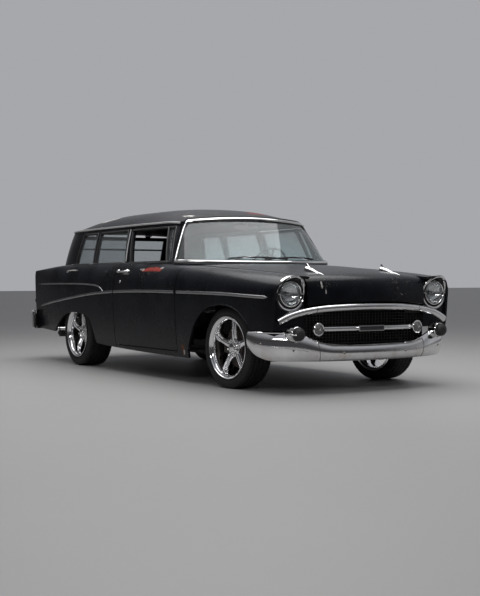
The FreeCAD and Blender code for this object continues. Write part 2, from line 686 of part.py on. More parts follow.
bar = 0.11
liftgate = fused([gate_panel(-1, 1, 0, bar, 0, 28), gate_panel(-1, 1, 1 - bar, 1, 0, 28),
                  gate_panel(-1, -1 + bar, 0, 1, 0, 28), gate_panel(1 - bar, 1, 0, 1, 0, 28)])
for y in (-gate_hinge_y, gate_hinge_y):
    tube, bore = lid_hinge(gate_axis, y)[1:]
    strap = block((gate_axis[0] - 5, y - half_hinge, lift_top - 30),
                  (gate_axis[0] + 1, y + half_hinge, gate_axis[1] + 2))
    foot = block((gate_axis[0] - 5, y - half_hinge, lift_top - 30),
                 (gate_axis[0] + 16, y + half_hinge, lift_top - 4))
    liftgate = liftgate.fuse(fused([strap, foot]).cut(bore)).fuse(tube)
keep("liftgate", liftgate)
keep("liftgate_glass", gate_panel(-1 + bar + 0.001, 1 - bar - 0.001, bar + 0.002, 1 - bar - 0.002, 8, 13))

tail_half = 655
jamb = 663
tailgate_low = 500
tailgate_top = lift_low - gap


def tailgate_rows(depth, half=tail_half, low=tailgate_low, high=tailgate_top):
    rows = []
    for i in range(9):
        share = -1 + i / 4
        row = []
        for x, bulge, z in ((-2322, 12, low), (-2316, 22, 640), (-2290, 22, 800), (-2226, 30, 940),
                            (-2172, 44, high)):
            row.append(Vector(x - bulge * (1 - share**2) + depth, half * share, z))
        rows.append(row)
    return rows


tailgate = panel_between(tailgate_rows(0), tailgate_rows(45))
tail_axis = (-2339, tailgate_low - 4)
tail_hinge_y = 420
tail_pins = []
for y in (-tail_hinge_y, tail_hinge_y):
    fixed, tube, bore = lid_hinge(tail_axis, y)
    tab = block((tail_axis[0] - 4, y - half_hinge, tail_axis[1]), (-2318, y + half_hinge, tailgate_low + 24))
    tab = tab.cut(block((tail_axis[0] + 5, y - half_hinge - 1, 0),
                        (0, y + half_hinge + 1, tailgate_low + 2)))
    tailgate = tailgate.fuse(tab.cut(bore)).fuse(tube)
    tail_pins.append(fixed)
    for y_low, y_high in beside_hinge(y):
        tail_pins.append(block((tail_axis[0] - 4, y_low, tail_axis[1] - 30),
                               (-2330, y_high, tail_axis[1])))
keep("tailgate", tailgate)

# Tail panel: valance below the tailgate, jambs beside it and the fins' rear faces.

valance = block((-2334, -jamb, 345), (-2312, jamb, tailgate_low - gap))
jamb_outline = ((-2070, 612), (-2070, belt - 40), (-2250, belt - 52), (body_tail + 1, belt - 62),
                (body_tail + 1, 350), (-2312, 350), (-2312, 612))
jamb_wall = prism(jamb_outline, "y", jamb, jamb + 12)
cap_outline = []
for y, z in side_section(body_tail):
    inset_y = min(y, wide - 92)
    cap_outline.append((max(inset_y - 6, jamb), z - 6 if z > 700 else z + 4))
cap_outline.append((jamb, cap_outline[-1][1]))
fin_cap = prism(cap_outline, "x", body_tail + 2, body_tail + 14)
tail_panel = fused([valance, jamb_wall, mirrored(jamb_wall), fin_cap, mirrored(fin_cap)] + tail_pins)
tail_panel = tail_panel.cut(fused([thin_side, mirrored(thin_side)]))
tail_panel = max(tail_panel.Solids, key=lambda solid: solid.Volume)
keep("tail_panel", tail_panel)

lens_at = (body_tail, 790, 640)
lens = turned(((0, 0), (0, 58), (-22, 56), (-30, 44), (-46, 30), (-52, 0)), lens_at, (1, 0, 0))
keep("taillamps", Part.makeCompound([lens, mirrored(lens)]))

# Grille: one sheet of rectangular mesh behind the chrome, its top edge along the arched moulding.

ARCH = ((0, nose - 60, 656), (250, nose - 68, 652), (450, nose - 96, 642), (600, lamp_x + 20.3, 621),
        (700, lamp_x + 15.3, 598), (780, lamp_x + 4, 570), (820, lamp_x - 4.6, 543))
grille_low = 372
grille_x = lamp_x - 2
mesh_half = cap_inner - seat


def arch_height(y):
    return -at_stations(-abs(y), tuple((-y_at, -z) for y_at, x, z in ARCH))


edge_points = [(-mesh_half, grille_low), (mesh_half, grille_low)]
for i in range(13):
    y = mesh_half * (1 - i / 6)
    edge_points.append((y, arch_height(y) - size.moulding_width / 2 + 12))
mesh_face = Part.Face(Part.makePolygon([Vector(grille_x, y, z) for y, z in edge_points + edge_points[:1]]))
holes = []
count_y = int(2 * mesh_half / size.mesh_pitch_y)
count_z = int((arch_height(0) - grille_low) / size.mesh_pitch_z)
for i in range(count_y):
    y = (i - (count_y - 1) / 2) * size.mesh_pitch_y
    half_y = (size.mesh_pitch_y - size.mesh_bar) / 2
    for k in range(count_z):
        z = grille_low + size.mesh_bar * 2 + k * size.mesh_pitch_z
        top = z + size.mesh_pitch_z - size.mesh_bar
        if top > arch_height(abs(y) + half_y) - size.moulding_width / 2 + 4:
            continue
        corners = [Vector(grille_x, y - half_y, z), Vector(grille_x, y - half_y, top),
                   Vector(grille_x, y + half_y, top), Vector(grille_x, y + half_y, z)]
        holes.append(Part.makePolygon(corners + corners[:1]))
mesh_sheet = Part.Face([mesh_face.OuterWire] + holes)
mesh_sheet.validate()
grille = mesh_sheet.extrude(Vector(-10, 0, 0))
keep("grille", grille)

# Grille surround: arched moulding, and the bar that carries the parking lamps.

moulding_back = 10.4
MOULDING = ((-4, 1), (14, 0.92), (30, 0.4), (30, -0.4), (14, -0.92), (-4, -1))


def arch_rows(flat):
    # Rows across the moulding, square to its path as seen from the front.
    rows = []
    half = size.moulding_width / 2
    for i in range(25):
        y = ARCH[-1][0] * (-1 + i / 12)
        x = at_stations(-abs(y), tuple((-y_at, x) for y_at, x, z in ARCH))
        across = Vector(0, arch_height(y - 5) - arch_height(y + 5), 10)
        across.normalize()
        row = []
        for forward, share in MOULDING:
            face = Vector(x - moulding_back if flat else x + forward, y, arch_height(y))
            row.append(face + across * half * share)
        rows.append(row)
    return rows


moulding = panel_between(arch_rows(False), arch_rows(True))
bar_at = size.parking_height


def bar_x(y):
    return nose - 78 - 42 * (y / size.parking_half_spacing) ** 2


def bar_rows(x_shift, half_height):
    rows = []
    for z in (bar_at - half_height, bar_at, bar_at + half_height):
        bulge = 10 if z == bar_at else 0
        rows.append([Vector(bar_x(y) + x_shift + bulge, y, z)
                     for y in (size.parking_half_spacing * (-1 + i / 4) for i in range(9))])
    return rows


surround = [panel_between(bar_rows(0, 15), bar_rows(-22, 15))]
surround.append(block((bar_x(0) - 10, -125, bar_at - 22), (bar_x(0) + 16, 125, bar_at + 22)))
for y in (-size.parking_half_spacing, size.parking_half_spacing):
    back = grille_x + seat - bar_x(y)
    surround.append(turned(((back, 0), (back, 30), (-12, 34), (2, 46), (14, 46), (20, 38), (24, 22),
                            (26, 0)), (bar_x(y), y, bar_at), (1, 0, 0)))
keep("grille_surround", Part.makeCompound([fused(surround), moulding]))

# Front bumper: a deep blade swept round the nose, with two bullets.


def blade_rows(stations, depth):
    # Each station: x and y of the blade's face, low and high edges, bulge of its face.
    rows = []
    for x, y, low, high, bulge, facing in stations:
        angle = math.radians(facing)
        out = Vector(math.cos(angle), math.sin(angle), 0)
        row = []
        for share, swell in ((0, -0.9), (0.12, -0.1), (0.4, 0.35), (0.65, 0.3), (0.88, -0.2), (1, -1.1)):
            point = Vector(x, y, low + (high - low) * share)
            row.append(point + out * (bulge * swell - depth))
        rows.append(row)
    return rows


def both_sides(stations):
    left = [(x, -y, low, high, bulge, -facing) for x, y, low, high, bulge, facing in reversed(stations[1:])]
    return left + list(stations)


FRONT_BLADE = ((nose - 10, 0, 244, 366, 28, 0), (nose - 14, 200, 244, 367, 28, 4),
               (nose - 28, 400, 246, 372, 28, 9), (nose - 48, 520, 248, 400, 28, 14),
               (nose - 72, 640, 250, 455, 28, 22), (nose - 130, 770, 252, 474, 28, 42),
               (nose - 210, 852, 254, 476, 26, 66), (nose - 300, 896, 272, 475, 22, 80),
               (nose - 370, 915, 306, 473, 16, 84), (nose - 418, 922, 360, 470, 10, 86))
front_stations = both_sides(FRONT_BLADE)
front_blade = panel_between(blade_rows(front_stations, 0), blade_rows(front_stations, size.bumper_thickness))
bullets = []
for side in (-1, 1):
    base = Vector(nose - 134, side * size.bullet_half_spacing, size.bullet_height)
    radius = size.bullet_radius
    tip = size.tip_radius
    bullets.append(turned(((0, 0), (0, radius * 0.97), (6, radius), (14, radius), (66, tip + 5), (68, tip),
                           (84, tip), (106, tip * 0.84), (120, tip * 0.5), (126, 0)), base, (1, 0, 0)))
front_bumper = fused([front_blade] + bullets)
bumper_brackets = []
for side in (-1, 1):
    y = side * size.rail_half_spacing
    bumper_brackets.append(block((2300 + seat, y - 20, 262), (nose - 33, y + 20, 330)))
front_bumper = front_bumper.fuse(fused(bumper_brackets))
keep("front_bumper", front_bumper)

REAR_BLADE = ((tail + 10, 0, 330, 466, 26, 180), (tail + 14, 250, 330, 467, 26, 176),
              (tail + 28, 480, 332, 472, 26, 170), (tail + 44, 660, 334, 498, 22, 160),
              (tail + 60, 800, 334, 536, 14, 142), (tail + 108, 893, 336, 545, 8, 118),
              (tail + 190, 930, 340, 540, 4, 100), (tail + 262, 936, 356, 524, 2, 92))
rear_stations = both_sides(REAR_BLADE)
rear_blade = panel_between(blade_rows(rear_stations, 0), blade_rows(rear_stations, size.bumper_thickness))
rear_brackets = []
for side in (-1, 1):
    y = side * size.rail_half_spacing
    rear_brackets.append(block((tail + 25, y - 20, 380), (-2334 - seat, y + 20, 440)))
keep("rear_bumper", fused([rear_blade] + rear_brackets))

# Cabin floor, tunnel, firewall, load floor and rear wheelhouses in one welded pan.

floor_top = size.floor_height
cargo_top = size.cargo_height
sheet_metal = 18
firewall_x = 1120
kick_x = -760
house_out = 398
floor_half = wide - 84
tunnel_half = 110
tunnel_top = floor_top + 100
axle_z = size.rear_tyre_radius


def wheelhouse(radius, y_low, y_high, z_low):
    turn = Part.makeCylinder(radius, y_high - y_low, Vector(rear_axle, y_low, axle_z), Vector(0, 1, 0))
    reach = block((rear_axle - radius, y_low, z_low), (rear_axle + radius, y_high, axle_z + radius))
    lower = block((rear_axle - radius, y_low, z_low), (rear_axle + radius, y_high, axle_z))
    return turn.common(reach).fuse(lower)


pan = [block((kick_x, -floor_half, floor_top - sheet_metal), (firewall_x, floor_half, floor_top)),
       block((kick_x - sheet_metal, -floor_half, floor_top - sheet_metal), (kick_x, floor_half, cargo_top)),
       block((-2060, -floor_half + 30, cargo_top - sheet_metal), (kick_x, floor_half - 30, cargo_top)),
       block((-2262, -jamb + 14, cargo_top - sheet_metal), (-2060, jamb - 14, cargo_top)),
       block((firewall_x - sheet_metal, -600, floor_top), (firewall_x, 600, 955))]
tunnel = block((kick_x + 1, -tunnel_half, floor_top), (firewall_x, tunnel_half, tunnel_top))
tunnel_void = block((kick_x - 20, -tunnel_half + 14, 0), (firewall_x + 1, tunnel_half - 14, tunnel_top - 14))
gearbox_hump = block((520, -200, floor_top - 8), (firewall_x, 200, 470))
gearbox_void = block((534, -186, 0), (firewall_x + 1, 186, 456))
pan = fused(pan + [tunnel, gearbox_hump]).cut(fused([tunnel_void, gearbox_void]))
for side in (-1, 1):
    low, high = sorted((side * 572, side * 898))
    pan = pan.cut(wheelhouse(house_out - 1, low, high, 200))
    hollow_low, hollow_high = sorted((side * 584, side * 910))
    arch = wheelhouse(house_out, low, high, 280)
    pan = pan.fuse(arch.cut(wheelhouse(house_out - 12, hollow_low, hollow_high, 200)))
axle_room = block((rear_axle - 90, -floor_half, 200), (rear_axle + 90, floor_half, axle_z + 90))
pan = pan.cut(axle_room)
outer_air = fused([thick_side, mirrored(thick_side)])
pan = pan.cut(outer_air)
door_air = thick_side.copy()
door_air.translate(Vector(0, -6, 0))
door_air = door_air.common(block((door_rear - gap, 700, 200), (door_front + 4, 1000, 800)))
pan = pan.cut(fused([door_air, mirrored(door_air)]))
for side in (-1, 1):
    pan = pan.cut(Part.makeCylinder(103, 400, Vector(door_axis[0], side * door_axis[1], 200)))
pan = max(pan.Solids, key=lambda solid: solid.Volume)
keep("floor_pan", pan)

# Inner fenders: aprons beside the engine bay, tied by the panel that holds the radiator.

apron_y = 452
apron_points = ((front_axle - 560, 560), (front_axle - 560, 850), (front_axle + 560, 820),
                (front_axle + 640, 700), (front_axle + 640, 400), (front_axle + 520, 400),
                (front_axle + 440, 470), (front_axle - 440, 470))
apron = prism(apron_points, "y", apron_y - 12, apron_y)
shelf = prism(((front_axle - 560, 838), (front_axle + 480, 810), (front_axle + 480, 822),
               (front_axle - 560, 850)), "y", apron_y - 12, 900)
apron = apron.fuse(shelf).cut(thin_side)
apron = max(apron.Solids, key=lambda solid: solid.Volume)
rail_top_front = size.frame_base + size.rail_height + 30
radiator_x = 2110
support = block((radiator_x + 40, -apron_y + 6, rail_top_front + seat), (radiator_x + 52, apron_y - 6, 800))
window_half = size.radiator_width / 2 - 20
support = support.cut(block((radiator_x, -window_half, rail_top_front + 50),
                            (radiator_x + 60, window_half, 740)))
core_low = rail_top_front + 20
core_half = size.radiator_width / 2
core = block((radiator_x, -core_half, core_low),
             (radiator_x + 40, core_half, core_low + size.radiator_height))
tanks = [block((radiator_x - 12, -core_half - 6, z), (radiator_x + 40, core_half + 6, z + 50))
         for z in (core_low, core_low + size.radiator_height - 50)]
keep("inner_fenders", fused([apron, mirrored(apron), support, core] + tanks))

# Frame: two box rails kicked up over the rear axle, with cross members.

rail_y = size.rail_half_spacing
half_rail = size.rail_width / 2
base = size.frame_base
rail_top = base + size.rail_height - 16
rail_side = ((2300, 252), (2300, 345), (1400, 345), (1180, rail_top - 4), (kick_x - 24, rail_top - 4),
             (rear_axle + 270, 545), (rear_axle - 260, 560), (-1700, 500), (-2300, 452), (-2300, 372),
             (-1720, 414), (rear_axle - 240, 474), (rear_axle + 240, 460), (kick_x + 20, base), (1120, base),
             (1440, 240), (2100, 240))
rails = [prism(rail_side, "y", side * rail_y - half_rail, side * rail_y + half_rail) for side in (-1, 1)]
members = []
for x_low, x_high, z_low, z_high in ((2150, 2240, 245, 300), (front_axle - 60, front_axle + 60, 225, 262),
                                     (820, 900, base, base + 26), (100, 170, base, base + 26),
                                     (-620, -550, base, base + 26), (-1640, -1570, 500, 545),
                                     (-2290, -2240, 385, 440)):
    members.append(block((x_low, -rail_y, z_low), (x_high, rail_y, z_high)))
for x in (760, -300):
    for side in (-1, 1):
        low, high = sorted((side * rail_y, side * (floor_half - 40)))
        members.append(block((x, low, rail_top - 44), (x + 60, high, rail_top - 4)))
keep("frame", fused(rails + members))

# Engine with its gearbox, the one heavy mass under the hood.

heads_half = size.engine_width / 2
heads = block((1380, -heads_half, 480), (1380 + size.engine_length, heads_half, 760))
crankcase = block((1400, -150, 330), (2040, 150, 500))
air_cleaner = Part.makeCylinder(190, 90, Vector(1740, 0, 755))
bell_housing = block((1130, -140, 250), (1400, 140, 440))
gearbox = block((840, -90, base + 26 + seat), (1140, 90, 400))
keep("engine", fused([heads, crankcase, air_cleaner, bell_housing, gearbox]))

# Driveline: rear axle tube with its differential and the propeller shaft.

shaft_start = Vector(839.6, 0, 290)
shaft_end = Vector(rear_axle + 120, 0, axle_z)
rear_half = size.rear_track / 2
rear_stub = size.rear_tyre_width / 2 - 2 - size.rim_depth - 14 - seat
leftward = Vector(0, 1, 0)
axle_tube = Part.makeCylinder(40, 2 * rear_half - 130, Vector(rear_axle, -rear_half + 65, axle_z), leftward)
differential = Part.makeSphere(140, Vector(rear_axle, 0, axle_z)).common(
    block((rear_axle - 140, -110, 150), (rear_axle + 140, 110, 520)))
shaft = Part.makeCylinder(32, (shaft_end - shaft_start).Length, shaft_start, shaft_end - shaft_start)
half_shafts = Part.makeCylinder(size.spindle_radius, 2 * (rear_half + rear_stub),
                                Vector(rear_axle, -rear_half - rear_stub, axle_z), leftward)
drums = [Part.makeCylinder(150, 60, Vector(rear_axle, side * (rear_half - 70) - 30, axle_z), leftward)
         for side in (-1, 1)]
keep("rear_axle", fused([axle_tube, differential, shaft, half_shafts] + drums))

# Front control arms and rear leaf springs.

kingpin_y = size.front_track / 2 - size.kingpin_inset
arm_inner = rail_y + half_rail
lower_arm = prism(((front_axle - 120, arm_inner + seat), (front_axle + 120, arm_inner + seat),
                   (front_axle + 28, kingpin_y + 30), (front_axle - 28, kingpin_y + 30)), "z", 205, 228)
upper_arm = prism(((front_axle - 70, arm_inner + 4), (front_axle + 70, arm_inner + 4),
                   (front_axle + 22, kingpin_y + 22), (front_axle - 22, kingpin_y + 22)), "z", 434, 452)
tower = block((front_axle - 60, arm_inner - 24, 345 + seat), (front_axle + 60, arm_inner + 12, 452))
spring_post = Part.makeCylinder(38, 210, Vector(front_axle, 500, 226))
front_arms = fused([lower_arm, upper_arm, tower, spring_post])
spring_y = arm_inner + 36
leaf_low = ((rear_axle + 640, 250), (rear_axle + 330, 256), (rear_axle, 274), (rear_axle - 330, 300),
            (rear_axle - 640, 372))
leaf_top = ((rear_axle - 640, 392), (rear_axle - 330, 322), (rear_axle, 296.7), (rear_axle + 330, 278),
            (rear_axle + 640, 272))
leaf = arched_prism(leaf_low, leaf_top, spring_y - 34, spring_y + 34)
hanger_front = block((rear_axle + 620, arm_inner + seat, 230), (rear_axle + 660, spring_y + 34, 294))
hanger_rear = block((rear_axle - 660, arm_inner + seat, 366), (rear_axle - 630, spring_y + 34, 480))
leaf = fused([leaf, hanger_front, hanger_rear])
keep("suspension", Part.makeCompound([front_arms, mirrored(front_arms), leaf, mirrored(leaf)]))

# Exhaust: pipes and silencers under the floor, and the fuel tank behind the axle.


def pipe(points, radius):
    pieces = []
    for a, b in zip(points, points[1:]):
        a, b = Vector(*a), Vector(*b)
        pieces.append(Part.makeCylinder(radius, (b - a).Length, a, b - a))
        pieces.append(Part.makeSphere(radius, b))
    return fused(pieces)


run = pipe(((1460, 280, 300), (1000, 280, 262), (-840, 280, 262), (-1000, 240, 440), (-1420, 240, 460),
            (-1590, 262, 372), (-1670, 268, 336), (-1930, 280, 326), (-2060, 320, 308), (-2180, 590, 292),
            (-2330, 590, 284)), 24)
silencer_z = floor_top - sheet_metal - 46 - seat
silencer = Part.makeCylinder(46, 460, Vector(-60, 265, silencer_z), Vector(-1, 0, 0))
exhaust = run.fuse(silencer)
keep("exhaust", Part.makeCompound([exhaust, mirrored(exhaust)]))
tank = block((-2180, -310, 372), (-1700, 310, cargo_top - sheet_metal - seat))
low_edges = [edge for edge in tank.Edges if edge.BoundBox.ZLength < 1 and edge.BoundBox.ZMin < 400]
tank = tank.makeFillet(40, low_edges)
keep("fuel_tank", tank)

# Cabin: dashboard with the steering column, front bench and rear bench.

column_axis = Vector(-math.cos(math.radians(25)), 0, math.sin(math.radians(25)))
wheel_centre = Vector(440, size.wheel_offset, 985)
dashboard = prism(((1096, 975), (1040, 984), (800, 962), (690, 940), (668, 900), (690, 840), (760, 800),
                   (860, 780), (1096, 780)), "y", -700, 700)
dash_side = prism(((700, 770), (1100, 770), (1100, 700), (700, 735)), "z", 700, 1000)
dashboard = dashboard.cut(fused([dash_side, mirrored(dash_side)]))
column_start = wheel_centre - column_axis * (20 + seat)
column_end = wheel_centre - column_axis * 690
column = Part.makeCylinder(26, (column_end - column_start).Length, column_end, column_axis)
dashboard = dashboard.fuse(column).cut(cowl).cut(fused([thin_side, mirrored(thin_side)]))
dashboard = max(dashboard.Solids, key=lambda solid: solid.Volume)
keep("dashboard", dashboard)

front_cushion = block((-180, -640, floor_top + 100), (330, 640, 590))
front_back = prism(((-180, 470), (-100, 560), (-210, 930), (-330, 930), (-300, 470)), "y", -640, 640)
front_base = block((-200, -600, floor_top + seat), (260, 600, 430))
front_base = front_base.cut(block((-400, -130, 0), (400, 130, tunnel_top + 8)))
front_seat = fused([front_cushion.makeFillet(35, front_cushion.Edges), front_back, front_base])
keep("front_seat", front_seat)
rear_cushion = block((-758, -560, floor_top + 112), (-380, 560, 560))
rear_base = block((-752, -540, floor_top + seat), (-420, 540, 450))
rear_base = rear_base.cut(block((-900, -130, 0), (0, 130, tunnel_top + 8)))
rear_back = prism(((-757, 500), (-660, 540), (-790, 925), (-890, 925), (-880, cargo_top + seat),
                   (-757, cargo_top + seat)), "y", -560, 560)
rear_seat = fused([rear_cushion, rear_base, rear_back]).cut(pan)
rear_seat = max(rear_seat.Solids, key=lambda solid: solid.Volume)
keep("rear_seat", rear_seat)

# Steering wheel: rim, hub and two spokes, square to the column.

grip = 11
ring_radius = size.wheel_radius - grip
rim = Part.makeTorus(ring_radius, grip)
hub = Part.makeCylinder(38, 44, Vector(0, 0, -20))
spokes = [Part.makeBox(ring_radius, 22, 10, Vector(start, -11, -10)) for start in (-ring_radius, 0)]
steering = fused([rim, hub] + spokes)
steering.Placement = Placement(wheel_centre, Rotation(Vector(0, 0, 1), column_axis))
keep("steering_wheel", steering)

# Wheels: rim with five spokes, tyre, and the steered knuckles of the front axle.


def wheel_body(width, outer_lip):
    # The axis of the wheel is Y, with its outer side at +Y.
    rim_half = width / 2 - 8
    lip = size.rim_radius
    seat_radius = lip - 20
    profile = ((rim_half, lip), (rim_half + 6, lip), (rim_half + 6, lip - 7), (rim_half - 14, lip - 28),
               (rim_half - 60, lip - 34), (-rim_half + 20, lip - 34), (-rim_half - 4, lip - 22),
               (-rim_half - 4, lip), (-rim_half + 4, lip), (-rim_half + 12, seat_radius),
               (rim_half - 12, seat_radius))
    barrel = turned(profile, (0, 0, 0), (0, 1, 0))
    face = outer_lip - size.rim_depth
    bore = size.spindle_radius + seat
    hub_profile = ((face, 0), (face, size.hub_radius - 12), (face - 12, size.hub_radius),
                   (face - 44, size.hub_radius), (face - 44, bore), (face - 14, bore), (face - 14, 0))
    hub_disc = turned(hub_profile, (0, 0, 0), (0, 1, 0))
    cap = turned(((face, 0), (face, 34), (face + 22, 30), (face + 26, 0)), (0, 0, 0), (0, 1, 0))
    pieces = [barrel, hub_disc, cap]
    for k in range(5):
        spoke = prism(((40, face - 32), (size.hub_radius - 10, face - 34), (lip - 32, face - 26),
                       (lip - 32, face + 4), (size.hub_radius, face - 4), (40, face - 4)), "z", -27, 27)
        spoke.Placement = Placement(Vector(), Rotation(Vector(0, 1, 0), 90 + 72 * k))
        pieces.append(spoke)
    return fused(pieces)


def tyre_body(radius, width):
    half = width / 2
    bead = size.rim_radius - 20 + seat
    widest = bead + (radius - bead) * 0.45
    profile = ((-half * 0.86 + 6, bead + 20 - seat), (-half, widest), (-half * 0.93, radius - 12),
               (-half * 0.72, radius), (half * 0.72, radius), (half * 0.93, radius - 12), (half, widest),
               (half * 0.86 - 6, bead + 20 - seat), (half * 0.78, bead), (-half * 0.78, bead))
    return turned(profile, (0, 0, 0), (0, 1, 0))


FRONT_WHEEL = (size.front_track / 2, size.front_tyre_radius, size.front_tyre_width)
REAR_WHEEL = (size.rear_track / 2, size.rear_tyre_radius, size.rear_tyre_width)
WHEELS = (("front_left", front_axle, 1, FRONT_WHEEL), ("front_right", front_axle, -1, FRONT_WHEEL),
          ("rear_left", rear_axle, 1, REAR_WHEEL), ("rear_right", rear_axle, -1, REAR_WHEEL))


def place_wheel(shape, x, side, half_track, radius, steered):
    turn = Rotation(Vector(0, 0, 1), 0 if side > 0 else 180)
    shape = shape.copy()
    shape.Placement = Placement(Vector(x, side * half_track, radius), turn).multiply(shape.Placement)
    if steered:
        pivot = Vector(x, side * kingpin_y, 0)
        shape.rotate(pivot, Vector(0, 0, 1), size.steer_at_rest)
    return shape


for corner, x, side, (half_track, radius, width) in WHEELS:
    steered = corner.startswith("front")
    outer_lip = width / 2 - 2
    tyre = tyre_body(radius, width)
    rim = wheel_body(width, outer_lip)
    if steered:
        rim = rim.cut(tyre)
    keep(f"rim_{corner}", place_wheel(rim, x, side, half_track, radius, steered))
    keep(f"tyre_{corner}", place_wheel(tyre, x, side, half_track, radius, steered))

# Knuckle: upright, stub axle, brake disc and caliper. Its origin is the wheel's centre.

stub_end = size.front_tyre_width / 2 - 2 - size.rim_depth - 16
upright_foot = Vector(0, -size.kingpin_inset, 228 + seat - size.front_tyre_radius)
upright = Part.makeCylinder(20, 206 - 2 * seat, upright_foot)
carrier = Part.makeCylinder(58, 30, Vector(0, -size.kingpin_inset - 8, 0), Vector(0, 1, 0))
spindle = Part.makeCylinder(size.spindle_radius, stub_end + size.kingpin_inset,
                            Vector(0, -size.kingpin_inset, 0), leftward)
disc_low = stub_end - 58
disc = Part.makeCylinder(160, 24, Vector(0, disc_low, 0), Vector(0, 1, 0))
caliper = block((100, disc_low - 16, -50), (178, disc_low + 34, 50))
knuckle = fused([upright, carrier, spindle, disc, caliper])
for name, side in (("left", 1), ("right", -1)):
    keep(f"knuckle_{name}", place_wheel(knuckle, front_axle, side, size.front_track / 2,
                                        size.front_tyre_radius, True))

doc.recompute()
for feature in made:
    shape = feature.Shape
    wrong = [word for word in feature.State if word in ("Invalid", "Error")]
    if wrong or shape.isNull() or not shape.isValid():
        raise RuntimeError(f"{feature.Label} has no sound shape")
    litres = shape.Volume / 1e6
    print(f"{feature.Label:18s} solids {len(shape.Solids)} litres {litres:9.3f} {shape.BoundBox}")
os.makedirs("parts", exist_ok=True)
for feature in made:
    feature.Shape.exportStep(f"parts/{feature.Label}.step")
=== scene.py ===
import json
import math

import bmesh
import bpy
from mathutils import Matrix, Vector
from mathutils.bvhtree import BVHTree


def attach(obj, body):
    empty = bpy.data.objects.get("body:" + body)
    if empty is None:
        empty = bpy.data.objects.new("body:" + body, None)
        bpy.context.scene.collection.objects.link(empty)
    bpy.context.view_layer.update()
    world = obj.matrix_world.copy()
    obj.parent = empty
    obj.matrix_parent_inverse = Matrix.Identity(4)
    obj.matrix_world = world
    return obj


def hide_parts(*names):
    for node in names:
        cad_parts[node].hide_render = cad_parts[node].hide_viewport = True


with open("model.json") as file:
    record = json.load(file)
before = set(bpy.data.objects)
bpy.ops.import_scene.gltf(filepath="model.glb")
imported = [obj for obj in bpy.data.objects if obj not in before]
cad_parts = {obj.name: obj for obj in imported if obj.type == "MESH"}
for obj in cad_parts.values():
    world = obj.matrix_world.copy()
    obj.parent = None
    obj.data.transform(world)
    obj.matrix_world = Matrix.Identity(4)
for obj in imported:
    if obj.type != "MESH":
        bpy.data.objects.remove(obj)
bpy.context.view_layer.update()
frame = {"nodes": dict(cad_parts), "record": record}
scene = bpy.context.scene

# Camera, fitted to the photograph's wheels, lamps and windows: eye height, to the right of the nose.
camera = bpy.data.objects.new("camera", bpy.data.cameras.new("camera"))
scene.collection.objects.link(camera)
eye = Vector((9.121, -5.309, 0.853))
yaw = math.radians(148.263)
pitch = math.radians(-0.875)
roll = math.radians(-0.159)
ahead = Vector((math.cos(yaw) * math.cos(pitch), math.sin(yaw) * math.cos(pitch), math.sin(pitch)))
level = ahead.cross(Vector((0, 0, 1))).normalized()
above = level.cross(ahead)
right = math.cos(roll) * level + math.sin(roll) * above
up = math.cos(roll) * above - math.sin(roll) * level
camera.matrix_world = Matrix.Translation(eye) @ Matrix((right, up, -ahead)).transposed().to_4x4()
camera.data.sensor_width = 36
camera.data.lens = 65.8
camera.data.clip_end = 200
scene.camera = camera


class Shade:
    # One output of a material's node tree. Arithmetic on shades builds math nodes.
    def __init__(self, tree, socket):
        self.tree = tree
        self.socket = socket

    def math(self, kind, *others):
        node = self.tree.nodes.new("ShaderNodeMath")
        node.operation = kind
        for place, value in enumerate((self,) + others):
            self.plug(node.inputs[place], value)
        return Shade(self.tree, node.outputs[0])

    def plug(self, socket, value):
        if isinstance(value, Shade):
            self.tree.links.new(value.socket, socket)
        else:
            socket.default_value = value

    def node(self, kind, output=0, settings=(), **inputs):
        # Any other node: its settings, then its inputs by name or by number after an underscore.
        node = self.tree.nodes.new(kind)
        for name, value in dict(settings).items():
            setattr(node, name, value)
        for name, value in inputs.items():
            key = int(name[1:]) if name[1:].isdigit() else name.replace("_", " ")
            self.plug(node.inputs[key], value)
        return Shade(self.tree, node.outputs[output])

    def __add__(self, other):
        return self.math("ADD", other)

    def __mul__(self, other):
        return self.math("MULTIPLY", other)

    def __sub__(self, other):
        return self.math("SUBTRACT", other)

    def ramp(self, low, high):
        # 0 at low, 1 at high, clamped. High may be the smaller of the two.
        node = self.tree.nodes.new("ShaderNodeMapRange")
        self.plug(node.inputs[0], self)
        node.inputs[1].default_value = low
        node.inputs[2].default_value = high
        return Shade(self.tree, node.outputs[0])

    def mix(self, low, high):
        # Colour between low and high.
        node = self.tree.nodes.new("ShaderNodeMix")
        node.data_type = "RGBA"
        self.plug(node.inputs[0], self)
        for place, value in ((6, low), (7, high)):
            self.plug(node.inputs[place], value if isinstance(value, Shade) else (*value, 1.0))
        return Shade(self.tree, node.outputs[2])

    def noise(self, scale, detail=4.0, rough=0.6, stretch=None):
        place = self
        if stretch:
            place = self.node("ShaderNodeMapping", Vector=self, Scale=stretch)
        return self.node("ShaderNodeTexNoise", Vector=place, Scale=scale, Detail=detail, Roughness=rough)

    def part(self, index):
        return self.node("ShaderNodeSeparateXYZ", output=index, Vector=self)

    def spot(self, centre, radii, ragged=0.6, scale=24.0):
        # 1 inside an ellipsoid with a ragged edge, 0 outside it.
        away = self.node("ShaderNodeVectorMath", settings={"operation": "SUBTRACT"}, _0=self, _1=centre)
        away = away.node("ShaderNodeVectorMath", settings={"operation": "DIVIDE"}, _0=away, _1=radii)
        reach = away.node("ShaderNodeVectorMath", output=1, settings={"operation": "LENGTH"}, _0=away)
        return (reach + (self.noise(scale, 6.0, 0.7) - 0.5) * (ragged * 4.0)).ramp(1.05, 0.9)


